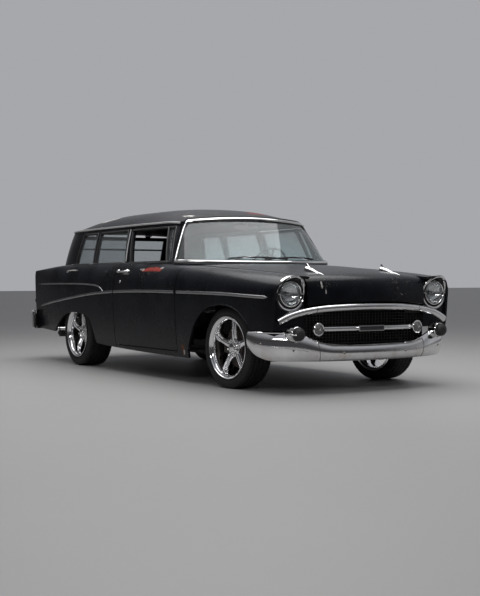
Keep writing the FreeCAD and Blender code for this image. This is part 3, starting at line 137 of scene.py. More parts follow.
def finish(name, build, **fixed):
    # New material: fixed values go straight on the shader, build() returns what varies over the surface.
    material = bpy.data.materials.new(name)
    material.use_nodes = True
    tree = material.node_tree
    shader = tree.nodes["Principled BSDF"]
    for key, value in fixed.items():
        shader.inputs[key.replace("_", " ")].default_value = value
    coordinates = tree.nodes.new("ShaderNodeTexCoord")
    place = Shade(tree, coordinates.outputs["Object"])
    for key, value in build(place).items():
        if key == "Bump":
            bump = place.node("ShaderNodeBump", Height=value[0], Strength=value[1], Distance=value[2])
            tree.links.new(bump.socket, shader.inputs["Normal"])
        else:
            place.plug(shader.inputs[key], value)
    return material


def plain(base, low, high, scale=18.0, depth=0.0004, contrast=0.2):
    # Even colour with fine grain, for parts that are cast, moulded or sprayed.
    def build(place):
        grain = place.noise(scale, 5.0, 0.6)
        return {"Base Color": grain.mix(tuple(c * (1 - contrast) for c in base),
            tuple(min(1, c * (1 + contrast)) for c in base)), "Roughness": grain * (high - low) + low,
            "Bump": (grain, 0.3, depth)}
    return build


def dress(slot, material):
    # Gives every CAD node of one record slot its finish.
    for entry in frame["record"]["subparts"]:
        if entry["material_slot"] == slot:
            slots = frame["nodes"][entry["node"]].data.materials
            if not len(slots):
                slots.append(material)
            for index in range(len(slots)):
                slots[index] = material


# Studio: a plain pale floor that runs out to the horizon, soft daylight, one ceiling softbox
# over the car and a long strip light ahead of it.
FLOOR_END = 90
DARK_FLOOR, PALE_FLOOR = (0.29, 0.285, 0.28), (0.32, 0.315, 0.31)
scene.view_settings.view_transform = "Standard"
studio = finish("studio_grey", lambda place: {"Base Color": place.noise(0.4).mix(DARK_FLOOR, PALE_FLOOR)},
    Roughness=0.5)
floor_mesh = bpy.data.meshes.new("floor")
floor_corners = [(x * FLOOR_END, y * FLOOR_END, 0) for x, y in ((-1, -1), (1, -1), (1, 1), (-1, 1))]
floor_mesh.from_pydata(floor_corners, [], [(0, 1, 2, 3)])
floor = bpy.data.objects.new("floor", floor_mesh)
scene.collection.objects.link(floor)
floor_mesh.materials.append(studio)
# The camera always sees a pale wall. What the car mirrors is a bright ceiling, that pale wall behind
# it, and a dimmer studio on the camera's side.
world = bpy.data.worlds.new("studio_light")
scene.world = world
world.use_nodes = True
sky = world.node_tree
facing = Shade(sky, sky.nodes.new("ShaderNodeTexCoord").outputs["Generated"])
wall = (facing.part(1) * 0.9 - facing.part(0) * 0.35).ramp(0.3, 0.7)
ceiling = facing.part(2).ramp(0.3, 0.75)
seen = Shade(sky, sky.nodes.new("ShaderNodeLightPath").outputs["Is Camera Ray"])
bright = wall.math("MAXIMUM", ceiling).math("MAXIMUM", seen)
sky.links.new(bright.mix((0.085, 0.085, 0.09), (0.62, 0.63, 0.66)).socket,
    sky.nodes["Background"].inputs["Color"])
sky.nodes["Background"].inputs["Strength"].default_value = 0.62
# Name, place, length, width, power and tilt of each light.
LIGHTS = (("ceiling_softbox", (0.3, 0, 5.2), 9.0, 7.0, 440, (0, 0, 0)),
    ("front_strip", (7.5, -5.5, 4.2), 7.0, 0.7, 120, (math.radians(62), 0, math.radians(54))))
for name, place, size_x, size_y, power, tilt in LIGHTS:
    lamp = bpy.data.lights.new(name, "AREA")
    lamp.shape = "ELLIPSE"
    lamp.size = size_x
    lamp.size_y = size_y
    lamp.energy = power
    holder = bpy.data.objects.new(name, lamp)
    holder.location = place
    holder.rotation_euler = tilt
    scene.collection.objects.link(holder)


# Body panels: pressed steel in old black lacquer, worn thin, hazy and dusty on top, the lighter grey
# there also a painted sheen, with chips down to grey primer, a bare red and white patch under the right
# door's window, scraped roof edges and rust behind the front wheel. The wear lies where the photographed
# car has it.
RED_PRIMER = (0.3, 0.045, 0.035)
GREY_PRIMER = (0.42, 0.4, 0.38)
RUST = (0.13, 0.045, 0.018)


def worn_paint(place):
    haze = place.noise(2.2, 6.0, 0.62)
    fine = place.noise(70.0, 3.0, 0.5)
    top = place.part(2).ramp(0.86, 1.02)
    colour = haze.ramp(0.38, 0.72).mix((0.0045, 0.005, 0.0068), (0.012, 0.013, 0.017))
    # Lighter grey on the upper body: dust, and a painted sheen where the top catches the light.
    dust_and_painted_sheen = top * haze.ramp(0.42, 0.7) * 0.5
    colour = dust_and_painted_sheen.mix(colour, (0.045, 0.046, 0.052))
    scratch = place.noise(26.0, 5.0, 0.75, (0.35, 1.0, 6.0)).ramp(0.7, 0.715)
    colour = (scratch * 0.22).mix(colour, (0.16, 0.16, 0.16))
    crowd = place.noise(1.6, 3.0, 0.5).ramp(0.5, 0.62)
    specks = place.noise(95.0, 4.0, 0.65)
    chips = (crowd * specks.ramp(0.715, 0.73)).math("MAXIMUM", specks.ramp(0.8, 0.81))
    for centre, radii in CHIPPED:
        chips = chips.math("MAXIMUM", place.spot(centre, radii, 0.25, 9.0) * specks.ramp(0.645, 0.665))
    colour = chips.mix(colour, GREY_PRIMER)
    bare = chips
    flakes = place.noise(34.0, 6.0, 0.75).ramp(0.4, 0.47)
    for centre, radii, tint in SCRAPES:
        mask = place.spot(centre, radii) * flakes
        colour = mask.mix(colour, tint)
        bare = bare.math("MAXIMUM", mask)
    rough = haze.ramp(0.3, 0.75) * 0.16 + fine * 0.06 + top * 0.05 + 0.17
    relief = bare * -1.0 + haze * 0.4
    return {"Base Color": colour, "Roughness": rough + bare * 0.3, "Bump": (relief, 0.25, 0.0008)}


# Centre, radii: places where chips crowd together.
CHIPPED = (((0.52, -0.92, 0.9), (0.3, 0.08, 0.05)), ((0.42, -0.42, 1.47), (0.42, 0.22, 0.07)),
    ((2.43, -0.42, 0.86), (0.1, 0.1, 0.07)), ((1.55, -0.6, 0.965), (0.4, 0.14, 0.05)),
    ((2.44, 0.3, 0.82), (0.1, 0.16, 0.1)), ((1.1, -0.9, 0.3), (0.1, 0.1, 0.12)),
    ((-0.35, -0.9, 0.93), (0.22, 0.07, 0.08)))
# Centre, radii, colour: places scraped bare.
SCRAPES = (((0.5, -0.895, 0.96), (0.19, 0.06, 0.02), RED_PRIMER),
    ((0.31, -0.895, 0.962), (0.05, 0.05, 0.01), GREY_PRIMER),
    ((0.45, -0.905, 0.938), (0.1, 0.05, 0.007), (0.01, 0.01, 0.012)),
    ((0.66, -0.88, 0.972), (0.035, 0.04, 0.007), GREY_PRIMER),
    ((-1.27, -0.89, 0.971), (0.15, 0.04, 0.006), GREY_PRIMER),
    ((-1.4, -0.9, 0.955), (0.03, 0.04, 0.004), GREY_PRIMER),
    ((-1.21, -0.48, 1.494), (0.19, 0.09, 0.05), GREY_PRIMER),
    ((-1.42, -0.5, 1.47), (0.06, 0.05, 0.04), GREY_PRIMER),
    ((0.53, 0.2, 1.505), (0.09, 0.12, 0.04), (0.15, 0.035, 0.03)),
    ((0.44, 0.3, 1.52), (0.04, 0.05, 0.02), GREY_PRIMER),
    ((0.47, -0.5, 1.445), (0.07, 0.035, 0.012), GREY_PRIMER),
    ((2.44, -0.45, 0.83), (0.05, 0.007, 0.03), GREY_PRIMER),
    ((2.47, -0.42, 0.775), (0.05, 0.005, 0.025), GREY_PRIMER),
    ((1.09, -0.91, 0.285), (0.025, 0.05, 0.05), RUST),
    ((1.11, -0.9, 0.262), (0.012, 0.04, 0.02), GREY_PRIMER),
    ((0.02, -0.91, 0.925), (0.05, 0.03, 0.005), GREY_PRIMER))
body_paint = finish("body_paint", worn_paint, Specular_IOR_Level=0.16)
dress("body_paint", body_paint)


# Chrome: bumpers, grille moulding and ornaments. Bright plate, hazy and pitted with age, and
# browner in blotches low down: a painted reflection of a brown floor.
def aged_chrome_and_floor_reflection(place):
    haze = place.noise(6.0, 6.0, 0.6)
    low = place.part(2).ramp(0.42, 0.25)
    pits = place.noise(170.0, 2.0, 0.5).ramp(0.7, 0.8)
    # Brown blotches low down: a painted reflection of a brown floor.
    floor_reflection_blotches = place.noise(9.0, 6.0, 0.7, (1.0, 1.0, 0.4)).ramp(0.52, 0.72) * low
    colour = haze.ramp(0.35, 0.75).mix((0.8, 0.8, 0.81), (0.66, 0.65, 0.64))
    colour = (floor_reflection_blotches * 0.6).mix(colour, (0.42, 0.33, 0.24))
    return {"Base Color": (pits * 0.45).mix(colour, (0.2, 0.13, 0.08)),
        "Roughness": haze.ramp(0.35, 0.75) * 0.07 + floor_reflection_blotches * 0.12 + 0.05, "Bump": (haze, 0.1, 0.006)}


chrome = finish("chrome", aged_chrome_and_floor_reflection, Metallic=1.0)
dress("chrome", chrome)
dress("lamp", chrome)
bright_trim = finish("bright_trim", plain((0.62, 0.62, 0.63), 0.16, 0.3, 30.0, 0.0002, 0.12),
    Metallic=1.0)
rubber = finish("rubber", plain((0.014, 0.014, 0.015), 0.45, 0.7, 60.0, 0.0006))
black_trim = finish("black_trim", plain((0.01, 0.01, 0.011), 0.3, 0.45, 40.0))
dress("grille_mesh", finish("grille_mesh", plain((0.055, 0.053, 0.05), 0.35, 0.55, 40.0), Metallic=0.85))
dress("chassis_paint", finish("chassis_paint", plain((0.018, 0.017, 0.016), 0.55, 0.85, 12.0, 0.001,
    0.5)))
dress("iron", finish("iron", plain((0.06, 0.052, 0.045), 0.5, 0.8, 20.0, 0.001, 0.4), Metallic=0.4))
exhaust_steel = finish("exhaust_steel", plain((0.03, 0.026, 0.022), 0.6, 0.85, 10.0, 0.0008, 0.35),
    Metallic=0.3)
dress("steel", exhaust_steel)
dress("dash_paint", finish("dash_paint", plain((0.012, 0.013, 0.016), 0.22, 0.38)))
dress("wheel_plastic", finish("wheel_plastic", plain((0.016, 0.016, 0.017), 0.2, 0.35, 50.0, 0.0002)))


# Window glass: the windshield is old green-blue sheet, the side and rear panes are nearly grey.
def sheet_glass(place):
    front = place.part(0).ramp(0.8, 0.95)
    colour = front.mix((0.66, 0.7, 0.71), (0.7, 0.83, 0.84))
    return {"Base Color": colour, "Roughness": place.noise(3.0, 5.0).ramp(0.4, 0.9) * 0.05 + 0.01}


dress("glass", finish("sheet_glass", sheet_glass, Transmission_Weight=0.93, IOR=1.4))


# Side spears: stainless strips of half-round section, 24 mm tall, clipped to the fenders, doors and
# quarters. Each is cut where it crosses a door's edge. A second, finer strip runs high on the
# quarter and dips at its front end to meet the spear.
HANDS = (("right", -1), ("left", 1))
SIDES = (-1, 1)
CLEAR_OF_BODY = 1.2
# Each panel of the body side, with its foremost and rearmost x.
PANELS = (("fender", 2.6, 1.003), ("door", 0.989, -0.212), ("quarter", -0.226, -2.42))
HALF_ROUND = ((-0.012, -0.003), (-0.012, 0.0015), (-0.009, 0.005), (-0.004, 0.0075), (0.002, 0.008),
    (0.008, 0.006), (0.012, 0.0015), (0.012, -0.003))
THIN_ROUND = tuple((a * 0.6, b * 0.8) for a, b in HALF_ROUND)


def surface(node):
    # Search tree over the skin of a CAD node.
    mesh = frame["nodes"][node].data
    corners = [vertex.co.copy() for vertex in mesh.vertices]
    return BVHTree.FromPolygons(corners, [list(face.vertices) for face in mesh.polygons])


def met(tree, start, aim, reach=9.0):
    # Where a line from a start first meets a skin, or None.
    return tree.ray_cast(Vector(start), Vector(aim), reach)[0]


def from_side(tree, sign, spot):
    # Where a level line from beside the car meets a skin, and the skin's normal there.
    return tree.ray_cast(Vector((spot[0], sign * CLEAR_OF_BODY, spot[2])), Vector((0, -sign, 0)))[:2]


def curve(points, steps):
    # Smooth line through points, with a number of steps between each two.
    points = [Vector(point) for point in points]
    line = []
    for i in range(len(points) - 1):
        a, b = points[i], points[i + 1]
        before = points[i - 1] if i else a - (b - a)
        after = points[i + 2] if i + 2 < len(points) else b + (b - a)
        for k in range(steps):
            t = k / steps
            line.append(0.5 * (2 * a + (b - before) * t + (2 * before - 5 * a + 4 * b - after) * t * t
                + (3 * a - before - 3 * b + after) * t ** 3))
    return line + [points[-1]]


def bands(rows, wide, loop=False):
    # Faces between rows of corners, each row a closed section. Without a loop both ends are capped.
    faces = []
    for i in range(rows if loop else rows - 1):
        after = (i + 1) % rows * wide
        for j in range(wide):
            beside = (j + 1) % wide
            faces.append((i * wide + j, i * wide + beside, after + beside, after + j))
    if not loop:
        faces.append(tuple(range(wide)))
        faces.append(tuple(range((rows - 1) * wide, rows * wide)))
    return faces


def swept(path, outs, section, loop=False, sizes=None):
    # Strip whose section, (across, out) points in metres, follows a path. Outs is the way out of
    # the surface below: one tuple for all of it, or a list with one for each point.
    path = [Vector(point) for point in path]
    count = len(path)
    if isinstance(outs, tuple):
        outs = [outs] * count
    corners = []
    for i, point in enumerate(path):
        before = path[i - 1] if loop or i else point
        after = path[(i + 1) % count] if loop or i + 1 < count else point
        along = (after - before).normalized()
        out = Vector(outs[i])
        out = (out - along * out.dot(along)).normalized()
        side = along.cross(out)
        scale = sizes[i] if sizes else 1.0
        corners.extend(point + side * (a * scale) + out * (b * scale) for a, b in section)
    return corners, bands(count, len(section), loop)


def laid(spots, section, **shape):
    # Strip through those spots, each a point and the way out, that met a skin.
    spots = [spot for spot in spots if spot[0] is not None]
    return swept([point for point, _ in spots], [out for _, out in spots], section, **shape)


def mirrored(part):
    return [Vector((point[0], -point[1], point[2])) for point in part[0]], part[1]


def joined(*parts):
    corners, faces = [], []
    for part in parts:
        faces.extend(tuple(len(corners) + index for index in face) for face in part[1])
        corners.extend(part[0])
    return corners, faces


def piece(name, part, material, body="root", sharp=35):
    # Makes one finished mesh object that moves with a body.
    mesh = bpy.data.meshes.new(name)
    mesh.from_pydata([tuple(point) for point in part[0]], [], part[1])
    shell = bmesh.new()
    shell.from_mesh(mesh)
    bmesh.ops.remove_doubles(shell, verts=shell.verts, dist=0.00002)
    bmesh.ops.recalc_face_normals(shell, faces=shell.faces)
    shell.to_mesh(mesh)
    shell.free()
    mesh.shade_smooth()
    mesh.set_sharp_from_angle(angle=math.radians(sharp))
    mesh.materials.append(material)
    made = bpy.data.objects.new(name, mesh)
    scene.collection.objects.link(made)
    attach(made, body)
    return made


def body_of(panel, hand):
    return f"door_{hand}" if panel == "door" else "root"


def side_strip(label, points, section, material, tapers=True):
    # Strip along the body side through (x, z) points, one piece for each panel that it crosses.
    line = curve([(x, 0, z) for x, z in points], 14)
    for hand, sign in HANDS:
        for panel, front, rear in PANELS:
            tree = surface(f"{panel}_{hand}")
            path, sizes = [], []
            for i, spot in enumerate(line):
                hit = from_side(tree, sign, spot)[0] if rear <= spot.x <= front else None
                if hit:
                    path.append(hit)
                    from_end = min(i, len(line) - 1 - i)
                    sizes.append(min(1.0, 0.15 + from_end / 6) if tapers else 1.0)
            if len(path) > 2:
                strip = swept(path, (0, sign, 0), section, sizes=sizes)
                piece(f"{label}_{panel}_{hand}", strip, material, body_of(panel, hand))


spear_trim = finish("spear_trim", plain((0.34, 0.34, 0.35), 0.22, 0.4, 30.0, 0.0002, 0.25), Metallic=1.0)
SPEAR = ((2.33, 0.733), (2.2, 0.737), (1.7, 0.756), (0.979, 0.765), (0.352, 0.768), (-0.1, 0.762),
    (-0.462, 0.75), (-0.872, 0.724), (-1.54, 0.664), (-1.9, 0.628), (-2.229, 0.589))
HIGH_STRIP = ((-0.44, 0.752), (-0.475, 0.775), (-0.53, 0.8), (-0.6, 0.814), (-0.7, 0.823), (-0.9, 0.831),
    (-1.131, 0.834), (-1.7, 0.834), (-2.281, 0.83))
side_strip("side_spear", SPEAR, HALF_ROUND, spear_trim)
side_strip("quarter_trim", HIGH_STRIP, THIN_ROUND, spear_trim)


# Front wheel arches: the fender's rolled lip round the opening, painted with the body.
FRONT_AXLE = 1.69
ARCH = ((-0.502, 0.3), (-0.446, 0.396), (-0.354, 0.526), (-0.187, 0.638), (0.042, 0.671), (0.241, 0.638),
    (0.378, 0.55), (0.42, 0.49))
arch_section = tuple((a * 0.42, b * 0.55) for a, b in HALF_ROUND)
side_strip("arch_lip", [(FRONT_AXLE + x, z) for x, z in reversed(ARCH)], arch_section, body_paint,
    tapers=False)


# Window reveals: rubber channels round the side glass, each with a fine metal edge round it. Four
# windows a side, given by x at the front foot, front head, rear head and rear foot.
WINDOW_FOOT = 1.036
WINDOW_HEAD = 1.334
WINDOWS = (("vent", "door", (0.664, 0.572, 0.47, 0.586)),
    ("door_window", "door", (0.57, 0.452, -0.196, -0.116)),
    ("quarter_window", "quarter", (-0.24, -0.3, -0.93, -0.925)),
    ("rear_window", "quarter", (-0.985, -1.0, -1.372, -1.44)))
CHANNEL = ((-0.006, -0.016), (-0.006, 0.001), (-0.003, 0.004), (0.003, 0.004), (0.006, 0.001),
    (0.006, -0.016))
BRIGHT_EDGE = ((-0.0035, -0.004), (-0.0035, 0.003), (0, 0.0055), (0.0035, 0.003), (0.0035, -0.004))


def rounded(points, radius, steps=5):
    # Closed outline with its corners rounded.
    line = []
    points = [Vector(point) for point in points]
    for i, corner in enumerate(points):
        to_last = (points[i - 1] - corner).normalized()
        to_next = (points[(i + 1) % len(points)] - corner).normalized()
        for k in range(steps + 1):
            t = k / steps
            start, end = corner + to_last * radius, corner + to_next * radius
            line.append(start * (1 - t) ** 2 + corner * (2 * t * (1 - t)) + end * t * t)
    return line


def divided(line, length=0.06):
    # The same closed outline with its long runs divided.
    fine = []
    for a, b in zip(line, line[1:] + line[:1]):
        count = max(1, int((b - a).length / length))
        fine.extend(a + (b - a) * (k / count) for k in range(count))
    return fine


window_trim = finish("window_trim", plain((0.13, 0.13, 0.13), 0.35, 0.55, 24.0, 0.0003, 0.25),
    Metallic=0.6)
for hand, sign in HANDS:
    for label, panel, (front_foot, front_head, rear_head, rear_foot) in WINDOWS:
        tree = surface(f"{panel}_{hand}")
        for kind, grow, section, material, slot in (("channel", 0.003, CHANNEL, rubber, "tyre"),
                ("reveal", 0.011, BRIGHT_EDGE, window_trim, "chrome")):
            foot, head = WINDOW_FOOT - grow, WINDOW_HEAD + grow
            loop = rounded(((front_foot + grow, 0, foot), (front_head + grow * 0.6, 0, head),
                (rear_head - grow * 0.6, 0, head), (rear_foot - grow, 0, foot)), 0.016)
            spots = [from_side(tree, sign, spot) for spot in divided(loop)]
            spots = [(hit, normal if normal.y * sign > 0 else -normal) for hit, normal in spots if hit]
            piece(f"{label}_{kind}_{hand}", laid(spots, section, loop=True), material,
                body_of(panel, hand))


# Drip rail above the side glass, belt moulding below it, and the strip down the pillar behind the
# door: rolled strips that follow the greenhouse from the windshield post back to the tail.
DRIP = ((-0.009, -0.004), (-0.009, 0.01), (-0.005, 0.013), (0, 0.01), (0.006, 0.008), (0.009, 0.003),
    (0.009, -0.004))
RAIL = ((0.606, 0.661), (0.45, 0.686), (0.2, 0.706), (-0.2, 0.72), (-0.8, 0.718), (-1.3, 0.704),
    (-1.6, 0.676), (-1.8, 0.636), (-1.88, 0.604))
RAIL_HEIGHT = 1.386
BELT = 1.026
drip_trim = finish("drip_trim", plain((0.5, 0.5, 0.5), 0.3, 0.5, 24.0, 0.0003, 0.25), Metallic=0.7)
HOUSE_STRIPS = (
    ("belt_front", "door", ((0.56, BELT), (0.2, BELT), (-0.195, BELT)), BRIGHT_EDGE, bright_trim),
    ("belt_rear", "quarter", ((-0.235, BELT), (-0.8, BELT), (-1.445, BELT)), BRIGHT_EDGE, bright_trim),
    ("pillar_strip", "quarter", ((-0.224, 1.045), (-0.236, 1.18), (-0.252, 1.37)), THIN_ROUND, drip_trim))
for hand, sign in HANDS:
    line = curve([(x, sign * y, RAIL_HEIGHT - 0.01 * max(0.0, (x - 0.45) / 0.15)) for x, y in RAIL], 8)
    piece(f"drip_rail_{hand}", swept(line, (0, sign, 0), DRIP), drip_trim)
    for label, panel, points, section, material in HOUSE_STRIPS:
        tree = surface(f"{panel}_{hand}")
        line = curve([(x, 0, z) for x, z in points], 10)
        spots = [(from_side(tree, sign, spot)[0], (0, sign, 0)) for spot in line]
        piece(f"{label}_{hand}", laid(spots, section), material, body_of(panel, hand))


# Windshield surround: a broad chrome reveal with round upper corners, a rubber lip inside it, and
# the painted corners of the frame that it leaves outside.
# Base and header of the glass, each by its middle and its left end.
SHIELD_LOW = ((1.05, 0.0, 1.008), (0.726, 0.806, 1.018))
SHIELD_TOP = ((0.715, 0.0, 1.438), (0.616, 0.616, 1.402))
SURROUND = ((-0.013, -0.012), (-0.013, 0.002), (-0.009, 0.007), (-0.002, 0.009), (0.006, 0.008),
    (0.012, 0.004), (0.014, -0.012))
LIP = ((-0.005, -0.014), (-0.005, 0.002), (0, 0.004), (0.005, 0.002), (0.005, -0.014))
REVEAL_U, REVEAL_V = 0.965, 0.962
ROUND_U, ROUND_V = 0.115, 0.2
FRAME_END = 0.985
CORNER_SECTION = ((0, -0.01), (0, 0.0), (0.5, 0.001), (1, 0.0), (1, -0.01))
QUARTER = [k / 8 * math.pi / 2 for k in range(9)]


def shield_edge(ends, angle, power):
    (x_mid, _, z_mid), (x_end, y_end, z_end) = ends
    lateral = math.copysign(abs(math.sin(angle)) ** (2 / power), math.sin(angle))
    forward = max(math.cos(angle), 0) ** (2 / power)
    z = z_end + (z_mid - z_end) * (1 - abs(lateral) ** 2)
    return Vector((x_end + (x_mid - x_end) * forward, y_end * lateral, z))


def shield_out(u):
    angle = u * math.pi / 2
    return Vector((math.cos(angle) * 0.8, math.sin(angle), 0.55 * math.cos(angle))).normalized()


def on_shield(u, v, lift=0.0):
    # Point of the windshield's outer face: u from side to side, v from base to header.
    angle = u * math.pi / 2
    low = shield_edge(SHIELD_LOW, angle, 2.5)
    top = shield_edge(SHIELD_TOP, angle, 2.3)
    return low + (top - low) * v + shield_out(u) * (0.02 * v * (1 - v) + lift)


def shield_loop(edge_u, low_v, top_v, round_u, round_v):
    # Closed line in (u, v): square lower corners, round upper ones.
    foot = [(edge_u * (-1 + k / 15), low_v) for k in range(31)]
    end = [(edge_u, low_v + (top_v - round_v - low_v) * k / 8) for k in range(1, 9)]
    end += [(edge_u - round_u * (1 - math.cos(turn)), top_v - round_v * (1 - math.sin(turn)))
        for turn in QUARTER[1:]]
    head = [((edge_u - round_u) * (1 - k / 12), top_v) for k in range(1, 24)]
    return foot + end + head + [(-u, v) for u, v in reversed(end)]


def shield_strip(loop, section, lift=0.0):
    return swept([on_shield(u, v, lift) for u, v in loop], [shield_out(u) for u, v in loop], section,
        loop=True)


def lofted(rings):
    # Closed solid through rings of the same number of points.
    return [Vector(point) for ring in rings for point in ring], bands(len(rings), len(rings[0]))


piece("windshield_surround", shield_strip(shield_loop(REVEAL_U, 0.03, REVEAL_V, ROUND_U, ROUND_V),
    SURROUND), chrome)
piece("windshield_rubber", shield_strip(shield_loop(0.943, 0.062, 0.928, 0.11, 0.19), LIP, -0.004),
    rubber)
corners = []
for side in SIDES:
    rows = []
    for turn in QUARTER:
        u = REVEAL_U - ROUND_U * (1 - math.cos(turn))
        v = REVEAL_V - ROUND_V * (1 - math.sin(turn))
        rows.append([on_shield(side * (u + (FRAME_END - u) * s), v + (FRAME_END - v) * s, lift)
            for s, lift in CORNER_SECTION])
    corners.append(lofted(rows))
piece("windshield_corners", joined(*corners), body_paint)


# Wipers: chromed arms from pivots on the cowl, and dark blades parked along the foot of the glass.
BLADE_RUBBER = ((-0.004, -0.012), (-0.006, 0.0), (-0.003, 0.004), (0.003, 0.004), (0.006, 0.0),
    (0.004, -0.012))
PIVOT = ((-0.02, 0), (-0.02, 0.014), (0.0, 0.015), (0.012, 0.012), (0.018, 0.006), (0.018, 0))


def turns(count):
    # Angles of a whole turn in even steps.
    return [2 * math.pi * k / count for k in range(count)]


def turned(profile, centre, axis, steps=32):
    # Solid of revolution: profile points are (distance along the axis, radius).
    centre, axis = Vector(centre), Vector(axis).normalized()
    side = axis.cross(Vector((0, 0, 1)) if abs(axis.z) < 0.9 else Vector((1, 0, 0))).normalized()
    other = axis.cross(side)
    points = []
    for turn in turns(steps):
        radial = side * math.cos(turn) + other * math.sin(turn)
        points.extend(centre + axis * along + radial * radius for along, radius in profile)
    return points, bands(steps, len(profile), loop=True)


def tube(path, radius, sizes=None):
    # Round bar along a path.
    path = [Vector(point) for point in path]
    ring = [(radius * math.cos(turn), radius * math.sin(turn)) for turn in turns(10)]
    outs = []
    for before, after in zip(path[:1] + path, path[1:] + path[-1:]):
        along = (after - before).normalized()
        outs.append(along.orthogonal() if abs(along.z) > 0.95 else Vector((0, 0, 1)))
    return swept(path, outs, ring, sizes=sizes)


blades, arms = [], []
for pivot_y, way in ((-0.4, 1), (0.5, -1)):
    u_pivot = pivot_y / SHIELD_LOW[1][1] * 0.78
    base = Vector((1.012 - 0.06 * abs(pivot_y), pivot_y, 1.016))
    rise = [0.085 + 0.035 * math.sin(k / 12 * math.pi) for k in range(13)]
    path = [on_shield(u_pivot + way * (0.1 + 0.4 * k / 12), rise[k], 0.014) for k in range(13)]
    blades.append(swept(path, [shield_out(u_pivot)] * 13, BLADE_RUBBER))
    middle = path[6] + shield_out(u_pivot) * 0.008
    elbow = base.lerp(middle, 0.5) + Vector((0.012, 0, 0.01))
    arms.append(turned(PIVOT, base, (0.25, 0, 1)))
    arm = curve((base + Vector((0, 0, 0.012)), elbow, middle), 6)
    arms.append(tube(arm, 0.0042, sizes=[1.3 - 0.05 * k for k in range(13)]))
piece("wiper_blades", joined(*blades), black_trim)
piece("wiper_arms", joined(*arms), bright_trim)


# Rear-view mirror: a chromed back on a stalk from the header, 4.2 times as wide as it is tall.
mirror_at = Vector((0.64, 0.0, 1.35))
disc = turned(((-0.012, 0), (-0.012, 0.02), (-0.006, 0.029), (0.004, 0.03), (0.007, 0.026), (0.007, 0)),
    (0, 0, 0), (1, 0, 0), 40)
mirror = ([Vector((point.x, point.y * 4.2, point.z)) + mirror_at for point in disc[0]], disc[1])
stalk = tube([(0.645, 0, 1.352), (0.668, 0, 1.375), (0.69, 0, 1.405)], 0.006)
piece("rear_view_mirror", joined(mirror, stalk), bright_trim)


# Door handles and locks: cast, chromed pulls on two feet, with the key lock below.
HANDLE_HEIGHT = 0.948
GRIP = ((-0.01, 0), (-0.007, 0.005), (0, 0.008), (0.007, 0.005), (0.01, 0), (0.006, -0.004),
    (-0.006, -0.004))
GRIP_LINE = ((-0.165, 0.002), (-0.155, 0.018), (-0.13, 0.028), (-0.07, 0.032), (-0.01, 0.03),
    (0.02, 0.02), (0.03, 0.002))
BUTTON = ((-0.004, 0), (-0.004, 0.013), (0.016, 0.012), (0.02, 0.009), (0.021, 0))
LOCK = ((-0.004, 0), (-0.004, 0.013), (0.003, 0.012), (0.005, 0.008), (0.004, 0))
FOOT = ((-0.004, 0), (-0.004, 0.02), (0.004, 0.018), (0.01, 0.012), (0.018, 0.008), (0.018, 0))
# Profile, x and z of each turned part.
HANDLE_PARTS = ((BUTTON, 0.05, HANDLE_HEIGHT), (LOCK, -0.079, 0.853), (FOOT, -0.158, HANDLE_HEIGHT),
    (FOOT, 0.022, HANDLE_HEIGHT))
for hand, sign in HANDS:
    tree = surface(f"door_{hand}")
    line = [from_side(tree, sign, (x, 0, HANDLE_HEIGHT))[0] + Vector((0, sign * lift, 0))
        for x, lift in GRIP_LINE]
    grip = swept(curve(line, 4), (0, sign, 0), GRIP)
    parts = [turned(profile, from_side(tree, sign, (x, 0, z))[0], (0, sign, 0))
        for profile, x, z in HANDLE_PARTS]
    piece(f"door_handle_{hand}", joined(grip, *parts), chrome, f"door_{hand}")


# Sill plates behind the lower door gaps, and splash panels behind the ends of the grille: painted sheet.
def chunk(low, high, bevel=0.004):
    # Block with rounded edges.
    shell = bmesh.new()
    bmesh.ops.create_cube(shell, size=1.0)
    centre = (Vector(low) + Vector(high)) / 2
    for vertex in shell.verts:
        vertex.co = centre + Vector([vertex.co[i] * (high[i] - low[i]) for i in range(3)])
    bmesh.ops.bevel(shell, geom=shell.edges, offset=bevel, segments=3, profile=0.6, affect="EDGES")
    shell.verts.index_update()
    corners = [vertex.co.copy() for vertex in shell.verts]
    faces = [tuple(vertex.index for vertex in face.verts) for face in shell.faces]
    shell.free()
    return corners, faces


sills = [chunk((-0.25, y, 0.24), (1.0, y + 0.003, 0.3), 0.001) for y in (-0.868, 0.865)]
splash = [chunk((2.3, y, 0.372), (2.306, y + 0.14, 0.64), 0.002) for y in (-0.592, 0.452)]
splash += [chunk((2.25, y, 0.36), (2.38, y + 0.006, 0.64), 0.002) for y in (-0.598, 0.592)]
splash.append(chunk((2.16, -0.6, 0.352), (2.38, 0.6, 0.358), 0.002))
splash_paint = finish("splash_paint", plain((0.006, 0.006, 0.006), 0.6, 0.85))
piece("sill_and_splash_panels", joined(*sills, *splash), splash_paint)


# Headlamps: an oval chrome rim that reaches forward over the lamp as a hood, a dark flared throat,
# an inner chrome ring with its two clips, a silvered bowl and a fluted glass.
LAMP_AT = Vector((2.394, 0.708, 0.758))
RIM_HALF = 0.122
RIM = ((-0.007, -0.01), (-0.008, 0.001), (-0.004, 0.006), (0.002, 0.006), (0.006, 0.002), (0.006, -0.01))
# Share of the hood's depth, lift and growth of each corner of its section.
VISOR = ((0, 0.004, 0.004), (0, 0.004, 0.009), (0.5, 0.0, 0.012), (1, -0.002, 0.01), (1, -0.002, 0.004),
    (0.5, 0.0, 0.004))


def rim_point(turn, grow=0.0, lift=0.0):
    # Point of the oval rim. Turn is 0 at the lamp's outer side and a quarter at its top.
    across, height = math.cos(turn), math.sin(turn)
    z = height * (0.13 if height > 0 else 0.124)
    reach = 0.006 + 0.066 * max(0.0, height) ** 1.6 - 0.01 * abs(across) * (1 if across > 0 else 0.3)
    grown = 1 + grow / RIM_HALF
    return LAMP_AT + Vector((reach + lift, across * RIM_HALF * grown, z * grown))


